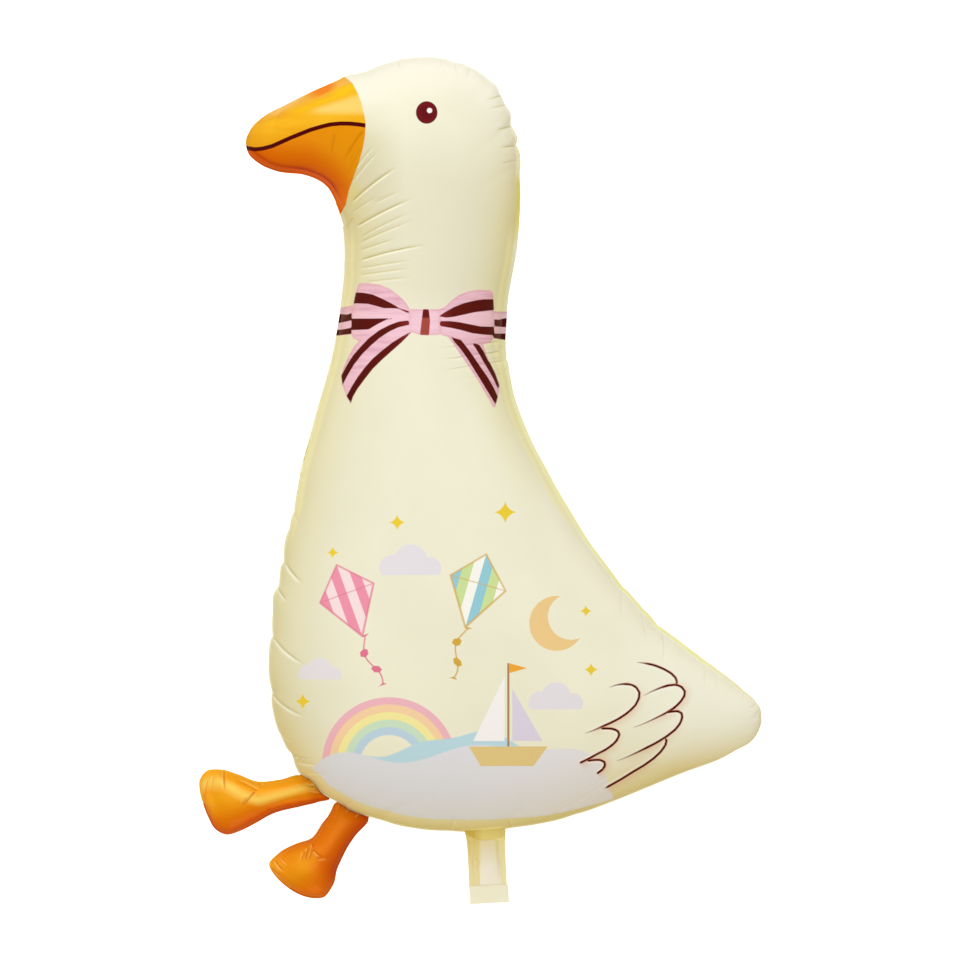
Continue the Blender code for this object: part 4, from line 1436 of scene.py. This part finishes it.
def leg_mesh(name, hip, stations, toes, folds, seed, rear):
    """A filled leg: both sheets over straight ribs from the hip line to the toes, and the
    flange round them. Its points carry their shares across and along the leg, and rear."""
    edge, seal = leg_edges(hip, stations, toes)
    steps = LEG_STEPS_ACROSS
    start = steps - 1
    ribs = (len(seal) - start - 1) // 2
    grid = rib_points(seal[start : start + ribs], seal[: start + ribs : -1], steps)
    grid[0, 1:-1] = seal[:start][::-1]
    count = ribs * (steps + 1)
    points = np.concatenate([grid.reshape(-1, 2), seal[start + ribs][None]])
    triangles, index = rib_faces(ribs, steps, None, count)
    rim = np.concatenate([index[0, -2:0:-1], index[:, 0], [count], index[::-1, -1]])
    height = swell(membrane(points, triangles, rim), LEG_FULLNESS, LEG_SWELL_LIMIT)
    distance = seal_distance(points, seal, 2)[:count]
    surface = np.column_stack([points, height])
    normal = grid_normals(surface[:count].reshape(*grid.shape[:2], 3)).reshape(-1, 3)
    across = np.tile(np.arange(steps + 1) / steps, ribs)
    along = np.repeat(np.linspace(0, 1, ribs), steps + 1)
    folded, crease = fold_depths(points, folds)
    sheets = []
    for side, sheet_seed in ((1, seed), (-1, seed + BACK_SEED_STEP)):
        deep = folded[:count].copy()
        for far_side in (0, 1):
            stop = along * LEG_LENGTH
            puckers = pucker_depths(stop, distance, sheet_seed + far_side, *LEG_PUCKERS)
            deep += ((across > 0.5) == far_side) * puckers
        deep *= np.clip(distance / LEG_CALM, 0, 1)
        places = surface.copy()
        places[:count] -= normal * deep[:, None]
        places[:, 2] = side * (np.maximum(places[:, 2], 0) + FOIL / 2)
        sheets.append((places, triangles[:, ::side], rim))
    mesh, _ = cushion_mesh(name, sheets, edge, seam_height - FOIL - LEG_GAP)
    spots = np.stack([across, along, 0 * along + rear], axis=1)
    spots = np.concatenate([spots, [(0.5, 1, rear)]])
    side = spots[[np.argmin(np.hypot(*(points - place).T)) for place in edge]]
    give(mesh, "crease", crease, crease, no_creases(2 * len(edge)))
    give(mesh, "leg_place", spots, spots, side, side)
    return mesh


def leg_print_and_painted_shade(place, at):
    """Orange foil with painted light and shade: gold along the upper side of each leg, where the
    light falls, and redder along its lower side. The front leg has a painted highlight down it,
    and the rear one is painted darker towards its hip, as in shade."""
    across, along, rear = stored(at.tree, "leg_place")
    mottle = noise(place, 26, detail=3)
    # Painted highlight: its line down the front leg moves across the leg towards the foot.
    dip = along.between(0.31, 0.54) * 0.31 + along.between(0.6, 0.75) * 0.1
    line = along.between(0.12, 0.25) * 0.09 - dip + 0.48
    shine = abs(across - line + mottle * 0.08).between(0.17, 0.02) * (rear * -1.0 + 1.0)
    # Painted shade on the rear leg: darker towards its hip, a flat orange on the lower side and
    # toes of its foot, and painted light on its ankle.
    deep = over((236, 118, 4), (206, 76, 0), across.between(0.5, 0.9))
    lower = rear * across.between(0.68, 0.9) * along.between(0.5, 0.7)
    toe = rear * run(at, -175.1, -356.2, -100).between(-2, 14)
    ankle_painted_light = rear * disc(at, -162.3, -347.0).between(16, 5)
    # Painted shade in the fold valleys and painted highlights on their ridges.
    valley, ridge = fold_shade_masks(at.tree, 0.9, 0.2, 1.2, -2.4, -1.4, -1.1, 0.2, 1.2)
    return printed(
        # Painted light and shade across the leg: gold at the upper side, redder towards the lower
        # side.
        ramp(across + mottle * 0.2 - 0.1, [
            (0.0, (255, 178, 28)), (0.15, (252, 167, 24)), (0.3, (247, 160, 18)),
            (0.45, (242, 165, 16)), (0.6, (238, 146, 4)), (0.72, (232, 125, 0)),
            (0.85, (223, 101, 0)), (0.95, (217, 91, 0)), (1.0, (226, 102, 2)),
        ]),
        ((251, 206, 92), shine * (mottle * 0.6 + 0.6)),
        (deep, rear * along.between(0.62, 0.4) * 0.85),
        ((227, 112, 0), lower * 0.7),
        ((228, 114, 0), toe * 0.6),
        ((250, 182, 30), ankle_painted_light * 0.35),
        ((224, 112, 0), valley * 0.6),
        ((254, 216, 130), ridge * 0.5),
    )


orange_foil = foil_material(
    "printed_orange_foil", leg_print_and_painted_shade, roughness=0.36, wear=0.14, dents=0.6, creases=0.8,
    gleam=0.07, coat=0.05, metallic=0.12,
)
for name, *shape in (
    ("front_leg", FRONT_HIP, FRONT_LEG_STATIONS, FRONT_TOES, FRONT_LEG_FOLDS, 51, 0),
    ("rear_leg", REAR_HIP, REAR_LEG_STATIONS, REAR_TOES, REAR_LEG_FOLDS, 71, 1),
):
    leg = add_object(name + "_foil", leg_mesh(name + "_foil_mesh", *shape), orange_foil)
    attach(leg, "root")
    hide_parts(name)


# The floor, the lights and the camera
#
# A plain white studio floor under a wide soft light from the upper left. The camera looks
# straight down on the front sheet.

FLOOR_SIZE = 40.0
FLOOR_HEIGHT = -0.0003
CAMERA_DISTANCE = 10.0
CAMERA_LENS = 120.0
CAMERA_REACH = 50
VIEW_WIDTH = 0.8830
VIEW_MIDDLE = (-0.0004, 0.0007)


def camera_ray(tree):
    """1 where the camera sees a surface itself, 0 where its light reaches something else."""
    return read(tree, "ShaderNodeLightPath", "Is Camera Ray")


def floor_finish(tree):
    """White paint with faint clouds, which glows a little so that shadows stay pale, and
    casts a warm light up at the balloon."""
    seen = camera_ray(tree)
    cloudy = noise(read(tree, "ShaderNodeTexCoord", "Object"), 3)
    white = over((246, 246, 246), (250, 250, 250), cloudy)
    return {
        "Base Color": over((214, 208, 184), white, seen),
        "Roughness": 0.9,
        "Specular IOR Level": 0.1,
        "Emission Color": (1, 1, 1, 1),
        "Emission Strength": seen * 0.7,
    }


floor_mesh = bpy.data.meshes.new("floor")
floor_corners = np.array([(-1, -1), (1, -1), (1, 1), (-1, 1)]) * FLOOR_SIZE / 2
floor_mesh.from_pydata([(x, y, FLOOR_HEIGHT) for x, y in floor_corners.tolist()], [], [range(4)])
floor = add_object("floor", floor_mesh, new_material("floor_paint", floor_finish))


def soft_light(name, place, size, watts, colour=(1, 1, 1)):
    """A round area light that points at the middle of the balloon."""
    light = bpy.data.lights.new(name, "AREA")
    light.shape = "DISK"
    light.size = size
    light.energy = watts
    light.color = colour
    lamp = bpy.data.objects.new(name, light)
    lamp.location = place
    lamp.visible_camera = False
    x, y, z = np.array(place) - (0, 0, seam_height)
    lamp.rotation_euler = (math.atan2(math.hypot(x, y), z), 0, math.atan2(y, x) + math.pi / 2)
    bpy.context.scene.collection.objects.link(lamp)


soft_light("top_light", (0.0, 0.5, 3.3), 3.6, 31)
soft_light("key_light", (0.1, 2.6, 2.2), 2.2, 36)
soft_light("left_light", (-2.6, -0.5, 0.9), 2.0, 12.5, (1.0, 0.99, 0.93))
soft_light("low_light", (0.4, -2.7, 0.9), 2.0, 15, (1.0, 0.96, 0.78))

world = bpy.data.worlds.new("studio")
world.use_nodes = True
world_tree = world.node_tree
_, towards_head, upwards = split(read(world_tree, "ShaderNodeTexCoord", "Generated"))
walls = ramp(towards_head, [
    (-0.7, (212, 182, 116)), (0.0, (226, 217, 186)), (0.7, (226, 222, 204)),
])
room = over(walls, (176, 176, 170), upwards.between(0.1, 0.7))
background = world_tree.nodes["Background"]
feed(background.inputs["Color"], over(room, (250, 250, 250), camera_ray(world_tree)))
feed(background.inputs["Strength"], 1.0)
bpy.context.scene.world = world

camera_data = bpy.data.cameras.new("camera")
camera_data.lens = CAMERA_LENS
camera_data.sensor_width = CAMERA_LENS * VIEW_WIDTH / CAMERA_DISTANCE
camera_data.clip_end = CAMERA_REACH
camera = bpy.data.objects.new("camera", camera_data)
camera.location = (*VIEW_MIDDLE, seam_height + CAMERA_DISTANCE)
bpy.context.scene.collection.objects.link(camera)
bpy.context.scene.camera = camera
bpy.context.scene.view_settings.view_transform = "Standard"
